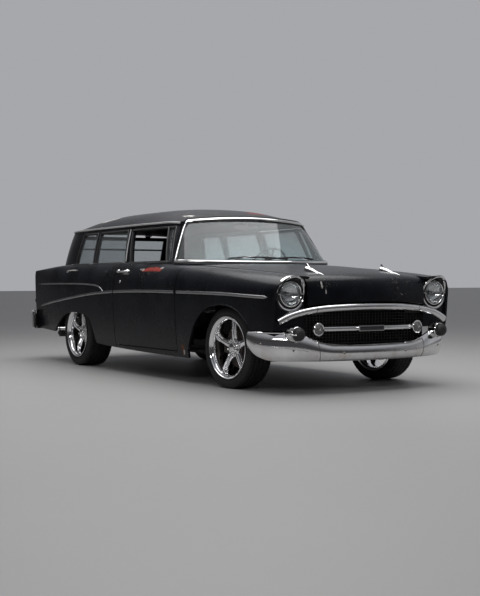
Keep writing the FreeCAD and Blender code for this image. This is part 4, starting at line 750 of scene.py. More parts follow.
visor, throat, outs = [], [], []
for turn in turns(56):
    across, height = math.cos(turn), math.sin(turn)
    outs.append(Vector((1.0, 0.35 * across, 0.35 * height)).normalized())
    upper = max(0.0, height)
    depth, drop = 0.01 + 0.036 * upper, 0.002 * upper
    for s, lift, grow in VISOR:
        visor.append(rim_point(turn, grow, lift) - Vector((depth * s, 0, -drop * s)))
    edge = rim_point(turn, -0.003, -0.004)
    inner_edge = LAMP_AT + Vector((0.001, 0.1 * across, 0.1 * height))
    throat.extend(edge.lerp(inner_edge, s) - Vector((0.01 * s * (1 - s) * 4, 0, 0))
        for s in (0.0, 0.35, 0.7, 1.0))
    throat.append(LAMP_AT + Vector((-0.012, 0.1 * across, 0.1 * height)))
    throat.append(edge + Vector((-0.016, 0.004 * across, 0.004 * height)))
rim = swept([rim_point(turn) for turn in turns(56)], outs, RIM, loop=True)
ring = turned(((0, 0.0905), (0.01, 0.0905), (0.0135, 0.0935), (0.012, 0.0985), (0.004, 0.1005),
    (0, 0.1005)), LAMP_AT, (1, 0, 0), 56)
clips = []
for side in SIDES:
    clip_at = LAMP_AT + Vector((0.012, side * 0.106, 0))
    clips.append(chunk(clip_at - Vector((0.004, 0.008, 0.006)), clip_at + Vector((0.004, 0.008, 0.006)),
        0.002))
lamp_chrome = joined(rim, (visor, bands(56, 6, loop=True)), ring, *clips)
lamp_throat = (throat, bands(56, 6, loop=True))
bowl = turned(((-0.058, 0), (-0.058, 0.03), (-0.04, 0.066), (-0.004, 0.0895), (0.002, 0.0895),
    (0.002, 0.087), (-0.005, 0.086), (-0.036, 0.062), (-0.05, 0.03), (-0.052, 0)), LAMP_AT, (1, 0, 0), 56)
bulb = turned(((-0.052, 0), (-0.052, 0.012), (-0.02, 0.012), (-0.012, 0.008), (-0.01, 0)), LAMP_AT,
    (1, 0, 0), 20)
lens_front = [(0.006 + 0.021 * (1 - (k / 12) ** 2), 0.089 * k / 12) for k in range(13)]
lens = turned(lens_front + [(along - 0.004, radius) for along, radius in reversed(lens_front)], LAMP_AT,
    (1, 0, 0), 56)
dark_paint = finish("lamp_throat_paint", plain((0.008, 0.008, 0.009), 0.25, 0.4, 30.0))
silvered = finish("lamp_bowl", plain((0.72, 0.73, 0.74), 0.1, 0.22, 25.0, 0.0006, 0.15), Metallic=1.0)


def fluted(place):
    # Upright flutes pressed in the lens, crossed by two level bands.
    across = (place.part(1) * 420.0).math("SINE")
    level = (place.part(2) * 210.0).math("SINE").ramp(0.5, 0.9)
    grain = place.noise(40.0, 3.0)
    return {"Base Color": grain.mix((0.8, 0.82, 0.82), (0.92, 0.93, 0.93)),
        "Roughness": grain * 0.08 + 0.02, "Bump": (across * 0.5 + level * 0.5, 0.35, 0.002)}


lamp_glass = finish("lamp_glass", fluted, Transmission_Weight=1.0, IOR=1.3)
rims = piece("headlamp_rims", joined(lamp_chrome, mirrored(lamp_chrome)), chrome)
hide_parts("headlamps")
piece("headlamp_throats", joined(lamp_throat, mirrored(lamp_throat)), dark_paint)
piece("headlamp_bowls", joined(bowl, bulb, mirrored(bowl), mirrored(bulb)), silvered)
piece("headlamp_glasses", joined(lens, mirrored(lens)), lamp_glass)


# Front bumper: three pressed sections with painted shadow lines at the seams between them, a bright
# rolled lip along the wings, a painted shadow line for the groove below it, round-headed bolts, and
# domed rubber tips on the two bullets.
# Stations of the bar from its middle to its end: x, y, low edge, high edge and facing in degrees.
FRONT_BAR = ((2.53, 0.0, 0.244, 0.366, 0), (2.526, 0.2, 0.244, 0.367, 4), (2.512, 0.4, 0.246, 0.372, 9),
    (2.492, 0.52, 0.248, 0.4, 14), (2.468, 0.64, 0.25, 0.455, 22), (2.41, 0.77, 0.252, 0.474, 42),
    (2.33, 0.852, 0.254, 0.476, 66), (2.24, 0.896, 0.272, 0.475, 80), (2.17, 0.915, 0.306, 0.473, 84),
    (2.128, 0.921, 0.35, 0.47, 86))
SEAM_SHADOW_SECTION = ((-0.0022, -0.003), (-0.0022, 0.0012), (0.0022, 0.0012), (0.0022, -0.003))
GROOVE_SHADOW_SECTION = ((-0.004, -0.003), (-0.004, 0.0007), (0.004, 0.0007), (0.004, -0.003))
ROLL = ((-0.007, -0.008), (-0.008, 0.0), (-0.004, 0.006), (0.002, 0.007), (0.007, 0.003), (0.008, -0.004),
    (0.004, -0.01))
RIB = ((-0.006, -0.004), (-0.005, 0.001), (0.0, 0.003), (0.005, 0.001), (0.006, -0.004))
BOLT = ((-0.004, 0), (-0.004, 0.0095), (0.001, 0.009), (0.004, 0.006), (0.005, 0))
STEPS = [k / 24 for k in range(25)]


def on_bumper(bumper, y, share):
    # Point of a bumper's face, and the way it faces, at y and a share of the bar's height.
    tree, rows = bumper
    for a, b in zip(rows, rows[1:]):
        if a[1] <= abs(y) <= b[1]:
            t = (abs(y) - a[1]) / (b[1] - a[1])
            x, _, low, high, facing = [p + (q - p) * t for p, q in zip(a, b)]
            turn = math.radians(facing)
            out = Vector((math.cos(turn), math.copysign(math.sin(turn), y), 0))
            return met(tree, Vector((x, y, low + (high - low) * share)) + out * 0.09, -out, 0.2), out


def bumper_strips(bumper, y, further, share, higher, section):
    # A strip on each end of a bumper. Y and the share of its height start so and change evenly.
    return [laid([on_bumper(bumper, side * (y + further * s), share + higher * s) for s in STEPS],
        section) for side in SIDES]


front = (surface("front_bumper"), FRONT_BAR)
# Seams, grooves and joints in the chrome are dark strips: painted shadow lines.
painted_seam_shadow = finish("seam_shadow", plain((0.05, 0.045, 0.04), 0.5, 0.7, 60.0))
bolt_head = finish("bolt_head", plain((0.3, 0.27, 0.24), 0.25, 0.4), Metallic=1.0)
piece("front_bumper_seams", joined(*bumper_strips(front, 0.5, 0.016, 0.02, 0.93, SEAM_SHADOW_SECTION)), painted_seam_shadow)
piece("front_bumper_grooves", joined(*bumper_strips(front, 0.7, 0.218, 0.7, -0.02, GROOVE_SHADOW_SECTION)), painted_seam_shadow)
middle_lip = laid([on_bumper(front, -0.52 + 1.04 * s, 0.93 + 0.02 * abs(2 * s - 1)) for s in STEPS], ROLL)
piece("front_bumper_lips", joined(middle_lip, *bumper_strips(front, 0.69, 0.23, 0.955, 0, ROLL),
    *bumper_strips(front, 0.6, 0.3, 0.4, 0.1, RIB)), chrome)
bolts = [turned(BOLT, *on_bumper(front, side * y, share), 20) for y, share in ((0.708, 0.4), (0.3, 0.5),
    (0.885, 0.55)) for side in SIDES]
piece("front_bumper_bolts", joined(*bolts), bolt_head)
BULLET_Y, BULLET_Z = 0.698, 0.458
TIP = [(0.0, 0.0), (0.0, 0.049), (0.01, 0.0505), (0.022, 0.05)]
TIP += [(0.022 + 0.036 * math.sin(turn), 0.05 * math.cos(turn)) for turn in QUARTER[1:]]
COLLAR = ((-0.004, 0.046), (-0.004, 0.0555), (0.004, 0.0565), (0.007, 0.0535), (0.007, 0.046))
tips = [turned(TIP, (2.4755, side * BULLET_Y, BULLET_Z), (1, 0, 0), 40) for side in SIDES]
collars = [turned(COLLAR, (2.4735, side * BULLET_Y, BULLET_Z), (1, 0, 0), 40) for side in SIDES]
piece("bumper_tips", joined(*tips), rubber)
piece("bumper_tip_collars", joined(*collars), chrome)


# Grille: painted shadow lines at the joints between the arched moulding's three lengths, the ribbed
# lenses of the parking lamps in chrome rings, a plain plate on the bar, and a thin bright line along it.
BAR_Z = 0.488
PARKING_X, PARKING_Y = 2.444, 0.485
PLATE_X = 2.4785
JOINT_SHADOW_SECTION = ((-0.0018, -0.002), (-0.0018, 0.0012), (0.0018, 0.0012), (0.0018, -0.002))
FINE_LINE = ((-0.003, -0.006), (-0.002, 0.002), (0.002, 0.002), (0.003, -0.006))
PLATE_EDGE = ((-0.004, -0.002), (-0.003, 0.004), (0.003, 0.004), (0.004, -0.002))
PARKING_RING = ((-0.014, 0.036), (-0.014, 0.05), (0.004, 0.052), (0.01, 0.0505), (0.014, 0.0455),
    (0.011, 0.0395), (0.002, 0.036))
PARKING_BUTTON = ((0.02, 0), (0.02, 0.01), (0.025, 0.0085), (0.0275, 0.004), (0.028, 0))
PARKING_LENS = [(0.0, 0.0), (0.0, 0.0375)] + [(0.004 + 0.02 * math.sin(turn), 0.0372 * math.cos(turn))
    for turn in QUARTER]
tree = surface("grille_surround")
# The moulding's joints are dark strips: painted shadow lines.
joint_shadows = []
for side in SIDES:
    starts = [(2.6, side * (0.5 + 0.01 * k / 12), 0.665 - 0.075 * k / 12) for k in range(13)]
    joint_shadows.append(laid([(met(tree, start, (-1, 0, 0), 0.25), (1, 0, 0)) for start in starts], JOINT_SHADOW_SECTION))
piece("moulding_joints", joined(*joint_shadows), painted_seam_shadow)
ys = [-0.425 + 0.85 * k / 20 for k in range(21)]
line = [(2.4745 - 0.042 * (y / 0.485) ** 2, y, BAR_Z) for y in ys]
bar_line = [swept(run, (1, 0, 0), FINE_LINE) for run in (line[:7], line[14:])]
rim_line = rounded([(PLATE_X, y, z) for y, z in ((-0.12, 0.47), (0.12, 0.47), (0.12, 0.506),
    (-0.12, 0.506))], 0.006)
piece("grille_bar_trim", joined(swept(rim_line, (1, 0, 0), PLATE_EDGE, loop=True), *bar_line), chrome)
enamel = finish("grille_plate_enamel", plain((0.03, 0.03, 0.034), 0.12, 0.25))
piece("grille_plate", chunk((2.4765, -0.116, 0.474), (2.48, 0.116, 0.502), 0.0012), enamel)


def ribbed(place):
    # Rings pressed in the lens, round its own middle.
    out = place.part(1).math("ABSOLUTE") - PARKING_Y
    up = place.part(2) - BAR_Z
    reach = (out * out + up * up).math("SQRT")
    grain = place.noise(60.0, 3.0)
    return {"Base Color": grain.mix((0.13, 0.13, 0.125), (0.26, 0.26, 0.25)),
        "Roughness": grain * 0.1 + 0.04, "Bump": ((reach * 900.0).math("SINE"), 1.0, 0.003)}


rings, lenses = [], []
for side in SIDES:
    at = (PARKING_X, side * PARKING_Y, BAR_Z)
    rings += [turned(PARKING_RING, at, (1, 0, 0), 40), turned(PARKING_BUTTON, at, (1, 0, 0), 20)]
    lenses.append(turned(PARKING_LENS, at, (1, 0, 0), 40))
piece("parking_lamp_rings", joined(*rings), chrome)
piece("parking_lamp_lenses", joined(*lenses), finish("parking_glass", ribbed, Coat_Weight=1.0, IOR=1.5))


# Hood ornaments: each rocket lies on a low chromed spear and carries a small upright blade.
ORNAMENT_Y = 0.374
SPEAR_SECTION = ((-0.008, -0.005), (-0.007, 0.002), (-0.003, 0.006), (0, 0.007), (0.003, 0.006),
    (0.007, 0.002), (0.008, -0.005))
FIN = ((2.15, 0.938), (2.128, 0.985), (2.14, 0.992), (2.182, 0.955), (2.186, 0.938))
tree = surface("hood")
ornaments = []
for side in SIDES:
    y = side * ORNAMENT_Y
    line = [met(tree, (2.15 + 0.215 * k / 14, y, 1.3), (0, 0, -1)) + Vector((0, 0, 0.001))
        for k in range(15)]
    sizes = [0.25 + 0.75 * math.sin(math.pi * min(1, 0.12 + k / 14 * 0.9)) for k in range(15)]
    ornaments.append(swept(line, (0, 0, 1), SPEAR_SECTION, sizes=sizes))
    ornaments.append(lofted([[(x, y + half, z) for x, z in FIN] for half in (-0.0035, 0.0035)]))
    ornaments.append(turned(((0, 0), (0.002, 0.014), (0.014, 0.023), (0.03, 0.025), (0.046, 0.021),
        (0.056, 0)), (2.122, y, 0.951), (0.966, 0, -0.257), 28))
piece("ornament_spears", joined(*ornaments), chrome, "hood", sharp=28)


# Cowl: the fresh-air grille below the windshield, a plate with a row of louvres.
def repeater(name, inputs, build):
    # Geometry Nodes tree that repeats its shape as build() says and gives real geometry back.
    tree = bpy.data.node_groups.new(name, "GeometryNodeTree")
    for label, kind in (("Geometry", "Geometry"), *inputs, ("Material", "Material")):
        tree.interface.new_socket(label, in_out="INPUT", socket_type=f"NodeSocket{kind}")
    tree.interface.new_socket("Geometry", in_out="OUTPUT", socket_type="NodeSocketGeometry")
    start = tree.nodes.new("NodeGroupInput").outputs
    unit, first, second, material = [Shade(tree, start[k]) for k in range(4)]
    real = unit.node("GeometryNodeRealizeInstances", Geometry=build(unit, first, second))
    painted = unit.node("GeometryNodeSetMaterial", Geometry=real, Material=material)
    tree.links.new(painted.socket, tree.nodes.new("NodeGroupOutput").inputs[0])
    return tree


def in_a_row(unit, count, step):
    line = unit.node("GeometryNodeMeshLine", Count=count, Offset=step)
    return unit.node("GeometryNodeInstanceOnPoints", Points=line, Instance=unit)


def spread(tree, unit, material, **inputs):
    # Runs a repeater on a unit shape and gives back plain corners and faces.
    mesh = bpy.data.meshes.new("unit")
    mesh.from_pydata([tuple(point) for point in unit[0]], [], unit[1])
    holder = bpy.data.objects.new("unit", mesh)
    scene.collection.objects.link(holder)
    modifier = holder.modifiers.new("spread", "NODES")
    modifier.node_group = tree
    inputs["Material"] = material
    for item in tree.interface.items_tree:
        key = item.name.replace(" ", "_")
        if item.in_out == "INPUT" and key in inputs:
            modifier[item.identifier] = inputs[key]
    made = bpy.data.meshes.new_from_object(holder.evaluated_get(bpy.context.evaluated_depsgraph_get()))
    part = ([vertex.co.copy() for vertex in made.vertices],
        [tuple(face.vertices) for face in made.polygons])
    bpy.data.objects.remove(holder)
    return part


row = repeater("row_of_pieces", (("Count", "Int"), ("Step", "Vector")), in_a_row)
louvre = chunk((1.062, -0.3, 1.0015), (1.112, -0.296, 1.006), 0.0012)
LOUVRE_FOOT = 1.0045
points, faces = spread(row, louvre, black_trim, Count=51, Step=(0.0, 0.012, 0.0))
tree = surface("cowl")
seated = []
for point in points:
    hit = met(tree, (point.x, point.y, 1.2), (0, 0, -1), 0.4)
    seated.append((point.x, point.y, (hit.z if hit else 1.0) + (point.z - LOUVRE_FOOT)))
piece("cowl_louvres", (seated, faces), black_trim)


# Wheels: polished one-piece rims with a deep stepped lip and five ridged spokes, a round hub with a
# domed cap and five chromed lug nuts, and a valve in the barrel. Low-profile radial tyres.
def in_a_ring(unit, count, first_turn):
    turn = unit.node("GeometryNodeInputIndex").math("DIVIDE", count).math("MULTIPLY_ADD", 2 * math.pi,
        first_turn)
    points = unit.node("GeometryNodePoints", Count=count)
    about = unit.node("ShaderNodeCombineXYZ", Z=turn)
    return unit.node("GeometryNodeInstanceOnPoints", Points=points, Instance=unit, Rotation=about)


ring_of = repeater("ring_of_pieces", (("Count", "Int"), ("First Turn", "Float")), in_a_ring)
polished = finish("polished_alloy",
    lambda place: {"Base Color": place.noise(9.0, 5.0).mix((0.8, 0.8, 0.81), (0.9, 0.9, 0.91)),
    "Roughness": place.noise(14.0, 6.0, 0.65).ramp(0.35, 0.8) * 0.1 + 0.03,
    "Bump": (place.noise(240.0, 2.0), 0.05, 0.0006)}, Metallic=1.0)
RUBBER_GREYS = (0.013, 0.013, 0.014), (0.034, 0.032, 0.03)
tyre_rubber = finish("tyre_rubber",
    lambda place: {"Base Color": (place.noise(5.0, 6.0, 0.7).ramp(0.4, 0.8) * 0.6).mix(*RUBBER_GREYS),
    "Roughness": place.noise(30.0, 4.0) * 0.25 + 0.5, "Bump": (place.noise(160.0, 3.0), 0.25, 0.0005)},
    Specular_IOR_Level=0.35)
# Outer half of the rim's section: distance from the lip's edge, radius.
RIM_SECTION = ((0, 0.25), (0.005, 0.25), (0.0066, 0.2478), (0.006, 0.2445), (0.002, 0.242),
    (-0.004, 0.234), (-0.006, 0.2285), (-0.014, 0.223), (-0.03, 0.2185), (-0.06, 0.2165))
# Stations of a spoke from the hub outward: reach, half width, height of the ridge and of the back.
SPOKE = ((0.04, 0.031, -0.004, -0.033), (0.07, 0.031, 0.0005, -0.035), (0.1, 0.0275, 0.0035, -0.034),
    (0.14, 0.025, 0.006, -0.031), (0.18, 0.0255, 0.0055, -0.028), (0.205, 0.029, 0.002, -0.027),
    (0.2185, 0.035, -0.004, -0.026))
# Half of a spoke's section, from its middle outward: share of the half width, depth below the ridge.
RIDGE = ((0.12, 0), (0.24, 0.0015), (0.34, 0.01), (0.62, 0.0105), (0.86, 0.0125), (1.0, 0.019))
HUB = ((-0.044, 0), (-0.044, 0.074), (-0.04, 0.078), (-0.012, 0.078), (-0.006, 0.0755), (-0.004, 0.071),
    (-0.0045, 0.046), (-0.001, 0.043), (0, 0.0385), (0, 0))
CAP = ((-0.002, 0), (-0.002, 0.0345), (0.014, 0.0335), (0.0185, 0.031), (0.02, 0.027), (0.0215, 0.018),
    (0.0235, 0.009), (0.024, 0))
NUT = ((0.0112, -0.01), (0.0112, 0.01), (0.0104, 0.0125), (0.006, 0.0165), (0.0015, 0.0175))
NUT_SEAT = ((-0.006, 0), (-0.006, 0.015), (-0.003, 0.0145), (-0.003, 0))
NUT_CIRCLE = 0.058
BEAD = 0.2303
HALF_FIFTH = math.pi / 5


def raised(profile, face):
    return [(face + along, radius) for along, radius in profile]


def rim_parts(half):
    # Rim in its own frame: Z runs out along the axle, from the tyre's middle plane.
    edge = half - 0.008
    face = half - 0.002 - 0.062
    profile = raised(RIM_SECTION, edge) + [(-edge + 0.02, 0.216), (-edge, 0.226), (-edge - 0.004, 0.232),
        (-edge - 0.004, 0.249), (-edge + 0.002, 0.2495), (-edge + 0.012, 0.2305), (edge - 0.012, 0.2305)]
    barrel = turned(profile, (0, 0, 0), (0, 0, 1), 96)
    rings = []
    for reach, wide, ridge, back in SPOKE:
        half_section = [(across, ridge - depth) for across, depth in RIDGE] + [(1.0, back)]
        section = [(-across, depth) for across, depth in reversed(half_section)] + half_section
        rings.append([(reach, wide * across, face + depth) for across, depth in section])
    spokes = spread(ring_of, lofted(rings), polished, Count=5, First_Turn=0.0)
    return joined(barrel, spokes, turned(raised(HUB, face), (0, 0, 0), (0, 0, 1), 64)), face


def nut_parts(face):
    corners = [(math.cos(math.pi / 3 * k), math.sin(math.pi / 3 * k)) for k in range(6)]
    rings = [[(NUT_CIRCLE + r * c, r * s, face + z) for c, s in corners] for r, z in NUT]
    seat = turned(raised(NUT_SEAT, face), (NUT_CIRCLE, 0, 0), (0, 0, 1), 20)
    nuts, seats = [spread(ring_of, part, chrome, Count=5, First_Turn=HALF_FIFTH)
        for part in (lofted(rings), seat)]
    return joined(nuts, seats, turned(raised(CAP, face), (0, 0, 0), (0, 0, 1), 40))


def tyre_part(half, radius):
    # Tyre with bulged sides, four grooves and a tread of staggered cuts. Each point of its half
    # section is a share of the half width, a radius and whether the cuts reach it.
    tall = radius - BEAD
    outer_side = [(0.76, BEAD, 0), (0.8, BEAD + 0.004, 0), (0.835, BEAD + 0.015, 0),
        (0.875, BEAD + 0.021, 0), (0.905, BEAD + 0.023, 0)]
    outer_side += [(share, BEAD + tall * height, 0) for share, height in ((0.945, 0.34), (0.978, 0.46),
        (0.99, 0.52), (0.984, 0.6), (0.966, 0.7))]
    outer_side += [(0.945, radius - 0.0185, 0), (0.925, radius - 0.0115, 1), (0.885, radius - 0.006, 1),
        (0.82, radius - 0.0022, 1), (0.74, radius - 0.0006, 1), (0.64, radius, 1)]
    grooves = []
    for place in (0.6, 0.21):
        grooves += [(place, radius, 1), (place - 0.004, radius - 0.007, 0),
            (place - 0.056, radius - 0.007, 0), (place - 0.06, radius, 1), (place - 0.19, radius, 1)]
    half_profile = outer_side + grooves
    profile = half_profile + [(-place, r, cut) for place, r, cut in reversed(half_profile)]
    points = []
    for k, turn in enumerate(turns(264)):
        for place, r, cut in profile:
            phase = (k + (2 if abs(place) < 0.45 else 0)) % 4
            depth = (0.0055 if abs(place) > 0.62 else 0.0035) if cut and phase == 0 else 0.0
            points.append(Vector(((r - depth) * math.cos(turn), (r - depth) * math.sin(turn),
                place * half)))
    return points, bands(264, len(profile), loop=True)


KINGPIN = 0.66
STEER = math.radians(4.2)
REAR_AXLE = -1.231
# The first spoke points up.
spin = Matrix.Rotation(-math.pi / 2, 4, "Z")
for axle, x, track, radius, width in (("front", FRONT_AXLE, 0.737, 0.326, 0.225),
        ("rear", REAR_AXLE, 0.74, 0.337, 0.265)):
    for hand, side in (("left", 1), ("right", -1)):
        corner = f"{axle}_{hand}"
        place = Matrix(((side, 0, 0, x), (0, 0, side, side * track), (0, -1, 0, radius), (0, 0, 0, 1)))
        if axle == "front":
            pivot = Matrix.Translation((x, side * KINGPIN, 0))
            place = pivot @ Matrix.Rotation(STEER, 4, "Z") @ pivot.inverted() @ place
        alloy, face = rim_parts(width / 2)
        valve = tube([(0.222, 0, face + 0.012), (0.214, 0, face + 0.026), (0.207, 0, face + 0.04)],
            0.0032)
        valve = ([Matrix.Rotation(HALF_FIFTH, 4, "Z") @ point for point in valve[0]], valve[1])
        for label, part, material, slot, replaced in (("alloy", alloy, polished, "wheel_alloy", "rim"),
                ("nuts_and_cap", nut_parts(face), chrome, "chrome", None),
                ("valve", valve, rubber, "tyre", None),
                ("tread", tyre_part(width / 2, radius), tyre_rubber, "tyre", "tyre")):
            part = ([place @ spin @ point for point in part[0]], part[1])
            made = piece(f"{label}_{corner}", part, material, f"wheel_{corner}", sharp=32)
            if replaced:
                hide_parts(f"{replaced}_{corner}")


# Tail: ringed red lenses, a reveal and gasket round the liftgate glass, handles, a blank number
# plate in its frame, a bright strip across the tailgate, exhaust tips and bumper lips.
BACKWARD = (-1, 0, 0)
LAMP_RING = ((-0.004, 0.054), (-0.004, 0.07), (0.006, 0.0715), (0.014, 0.068), (0.02, 0.06),
    (0.014, 0.056))
LAMP_BUTTON = ((0.047, 0), (0.047, 0.01), (0.052, 0.009), (0.0555, 0))
lamps = []
for side in SIDES:
    at = (-2.409, side * 0.79, 0.64)
    lamps += [turned(LAMP_RING, at, BACKWARD, 48), turned(LAMP_BUTTON, at, BACKWARD, 24)]
piece("taillamp_rings", joined(*lamps), chrome)
GLASS_FOOT, GLASS_HEAD = 1.046, 1.308
tree = surface("liftgate")
for label, grow, section, material, slot in (("liftgate_gasket", 0.002, CHANNEL, rubber, "tyre"),
        ("liftgate_reveal", 0.013, BRIGHT_EDGE, bright_trim, "chrome")):
    foot, head = GLASS_FOOT - grow, GLASS_HEAD + grow
    loop = rounded(((0, -0.529 - grow, foot), (0, 0.529 + grow, foot), (0, 0.492 + grow, head),
        (0, -0.492 - grow, head)), 0.02)
    spots = [(met(tree, (-2.7, spot.y, spot.z), (1, 0, 0)), (-0.83, 0, 0.55)) for spot in divided(loop)]
    piece(label, laid(spots, section, loop=True), material, "liftgate")
gate_handle = chunk((-2.168, -0.075, 1.018), (-2.135, 0.075, 1.034), 0.005)
gate_knob = turned(((0, 0), (0, 0.016), (0.02, 0.014), (0.026, 0.008), (0.026, 0)), (-2.14, 0, 1.026),
    (-1, 0, 0.2))
piece("liftgate_handle", joined(gate_handle, gate_knob), chrome, "liftgate")
tree = surface("tailgate")
TAIL_GRIP = ((-0.01, 0), (-0.006, 0.005), (0, 0.007), (0.006, 0.005), (0.01, 0), (0.005, -0.004),
    (-0.005, -0.004))
PLATE_FRAME = ((-0.005, -0.008), (-0.004, 0.004), (0.004, 0.004), (0.005, -0.008))


def on_tailgate(y, z, lift=0.0):
    return met(tree, (-2.8, y, z), (1, 0, 0)) - Vector((lift, 0, 0))


strip, low_strip = [[on_tailgate(-0.64 + 1.28 * k / 32, z) for k in range(33)] for z in (0.905, 0.56)]
grip = [on_tailgate(y, 0.842, lift) for y, lift in ((-0.085, 0.002), (-0.07, 0.024), (0, 0.034),
    (0.07, 0.024), (0.085, 0.002))]
plate_x = on_tailgate(0, 0.7).x
frame_line = rounded([(plate_x - 0.006, y, z) for y, z in ((-0.16, 0.64), (0.16, 0.64), (0.16, 0.79),
    (-0.16, 0.79))], 0.012)
bits = [swept(strip, (-1, 0, 0.2), HALF_ROUND), swept(low_strip, BACKWARD, THIN_ROUND),
    swept(curve(grip, 5), BACKWARD, TAIL_GRIP), swept(frame_line, BACKWARD, PLATE_FRAME, loop=True)]
bits += [turned(BOLT, (plate_x - 0.008, y, 0.772), BACKWARD, 16) for y in (-0.09, 0.09)]
piece("tailgate_trim", joined(*bits), chrome, "tailgate")
plate_enamel = finish("plate_enamel", plain((0.5, 0.49, 0.46), 0.3, 0.45, 30.0, 0.0003, 0.12))
piece("number_plate", chunk((plate_x - 0.0085, -0.155, 0.645), (plate_x - 0.004, 0.155, 0.785), 0.0015),
    plate_enamel, "tailgate")
PIPE_END = ((0, 0.0235), (0, 0.0275), (-0.07, 0.0285), (-0.092, 0.03), (-0.094, 0.0285), (-0.09, 0.025),
    (-0.01, 0.0235))
pipes = [turned(PIPE_END, (-2.255, side * 0.59, 0.288), (1, 0, 0.055), 32) for side in SIDES]
piece("exhaust_tips", joined(*pipes), exhaust_steel)
REAR_BAR = ((-2.53, 0.0, 0.33, 0.466, 180), (-2.526, 0.25, 0.33, 0.467, 176),
    (-2.512, 0.48, 0.332, 0.472, 170), (-2.496, 0.66, 0.334, 0.498, 160), (-2.48, 0.8, 0.334, 0.536, 142),
    (-2.432, 0.893, 0.336, 0.545, 118), (-2.35, 0.93, 0.34, 0.54, 100), (-2.29, 0.935, 0.35, 0.53, 94))
# Height, reach and half width of a guard, and its section: share of the width, distance back.
GUARD = ((0.345, 0.004, 0.022), (0.352, 0.008, 0.03), (0.375, 0.009, 0.034), (0.41, 0.009, 0.034),
    (0.428, 0.007, 0.03), (0.436, 0.003, 0.02))
GUARD_SECTION = ((-1, 0.05), (-1, 0.012), (-0.7, 0.002), (0, 0.0), (0.7, 0.002), (1, 0.012), (1, 0.05))
REARMOST = -2.5395
END_BEAD = ((-0.013, 0), (-0.01, 0.0045), (0, 0.0065), (0.01, 0.0045), (0.013, 0))
rear = (surface("rear_bumper"), REAR_BAR)
trim = bumper_strips(rear, 0.69, 0.24, 0.955, 0, ROLL) + bumper_strips(rear, 0.62, 0.29, 0.62, 0,
    THIN_ROUND)
for y in (-0.395, 0.395):
    face = on_bumper(rear, y, 0.5)[0].x
    trim.append(lofted([[(max(face - reach, REARMOST) + back, y + wide * across, z)
        for across, back in GUARD_SECTION] for z, reach, wide in GUARD]))
# The bright upright bead on each end of the bumper leans forward at its foot.
trim += bumper_strips(rear, 0.868, 0.022, 0.95, -0.9, END_BEAD)
piece("rear_bumper_trim", joined(*trim), chrome)
# The rear bumper's seams are dark strips: painted shadow lines.
piece("rear_bumper_seams", joined(*bumper_strips(rear, 0.56, 0.006, 0.03, 0.92, SEAM_SHADOW_SECTION)), painted_seam_shadow)


# Benches: pleated dark vinyl over springs and foam. Each cushion and back is a crowned, closed pad
# with sewn channels, on a base of painted sheet.
def vinyl(place):
    grain = place.noise(420.0, 3.0, 0.6)
    worn = place.noise(7.0, 5.0, 0.6).ramp(0.4, 0.75)
    return {"Base Color": worn.mix((0.02, 0.019, 0.018), (0.04, 0.037, 0.034)),
        "Roughness": grain * 0.15 + worn * 0.12 + 0.32, "Bump": (grain, 0.35, 0.0006)}


bench_vinyl = finish("bench_vinyl", vinyl)
CHANNEL_WIDTH = 0.085


def pad(name, centre, lean, half, replaced=None):
    # Crowned pad from a cube's skin. Half holds its half sizes: deep, wide and thick.
    deep, wide, thick = half
    placed = Matrix.Translation(centre) @ Matrix.Rotation(math.radians(lean), 4, "Y")
    points, faces, index = [], [], {}

    def corner(a, b, c):
        # Number of the pad's point for a point of the cube's skin.
        key = (round(a, 5), round(b, 5), round(c, 5))
        if key not in index:
            norm = (abs(a) ** 9 + abs(b) ** 9 + abs(c) ** 9) ** (1 / 9)
            x, y, z = a * deep / (0.4 + 0.6 * norm), b * wide / (0.7 + 0.3 * norm), c * thick / (0.3 + 0.7
                * norm)
            if c > 0.5:
                crown = (1 - abs(a) ** 3) * (1 - abs(b) ** 4)
                seam = (abs((y / CHANNEL_WIDTH) % 1.0 - 0.5) * 2) ** 10
                z += 0.016 * crown - 0.011 * seam * crown ** 0.4
            index[key] = len(points)
            points.append(placed @ Vector((x, y, z)))
        return index[key]

    for sign in SIDES:
        for rows, lines, skin in ((8, 176, lambda u, v: (sign, v, u)), (16, 8, lambda u, v: (u, sign, v)),
                (16, 176, lambda u, v: (u, v, sign))):
            for i in range(rows):
                for j in range(lines):
                    quad = ((i, j), (i + 1, j), (i + 1, j + 1), (i, j + 1))
                    faces.append(tuple(corner(*skin(-1 + 2 * p / rows, -1 + 2 * q / lines))
                        for p, q in quad))
    made = piece(name, (points, faces), bench_vinyl, "root", sharp=60)
    if replaced:
        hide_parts(replaced)


pad("front_cushion", (0.075, 0, 0.5), 0, (0.25, 0.638, 0.086), "front_seat")
pad("front_backrest", (-0.205, 0, 0.725), 75, (0.205, 0.636, 0.06))
pad("rear_cushion", (-0.57, 0, 0.495), 0, (0.185, 0.556, 0.06), "rear_seat")
pad("rear_backrest", (-0.78, 0, 0.735), 72, (0.19, 0.556, 0.052))
bases = (chunk((-0.195, -0.6, 0.319), (0.25, 0.6, 0.425), 0.006),
    chunk((-0.748, -0.54, 0.319), (-0.425, 0.54, 0.445), 0.006))
piece("bench_bases", joined(*bases), black_trim)


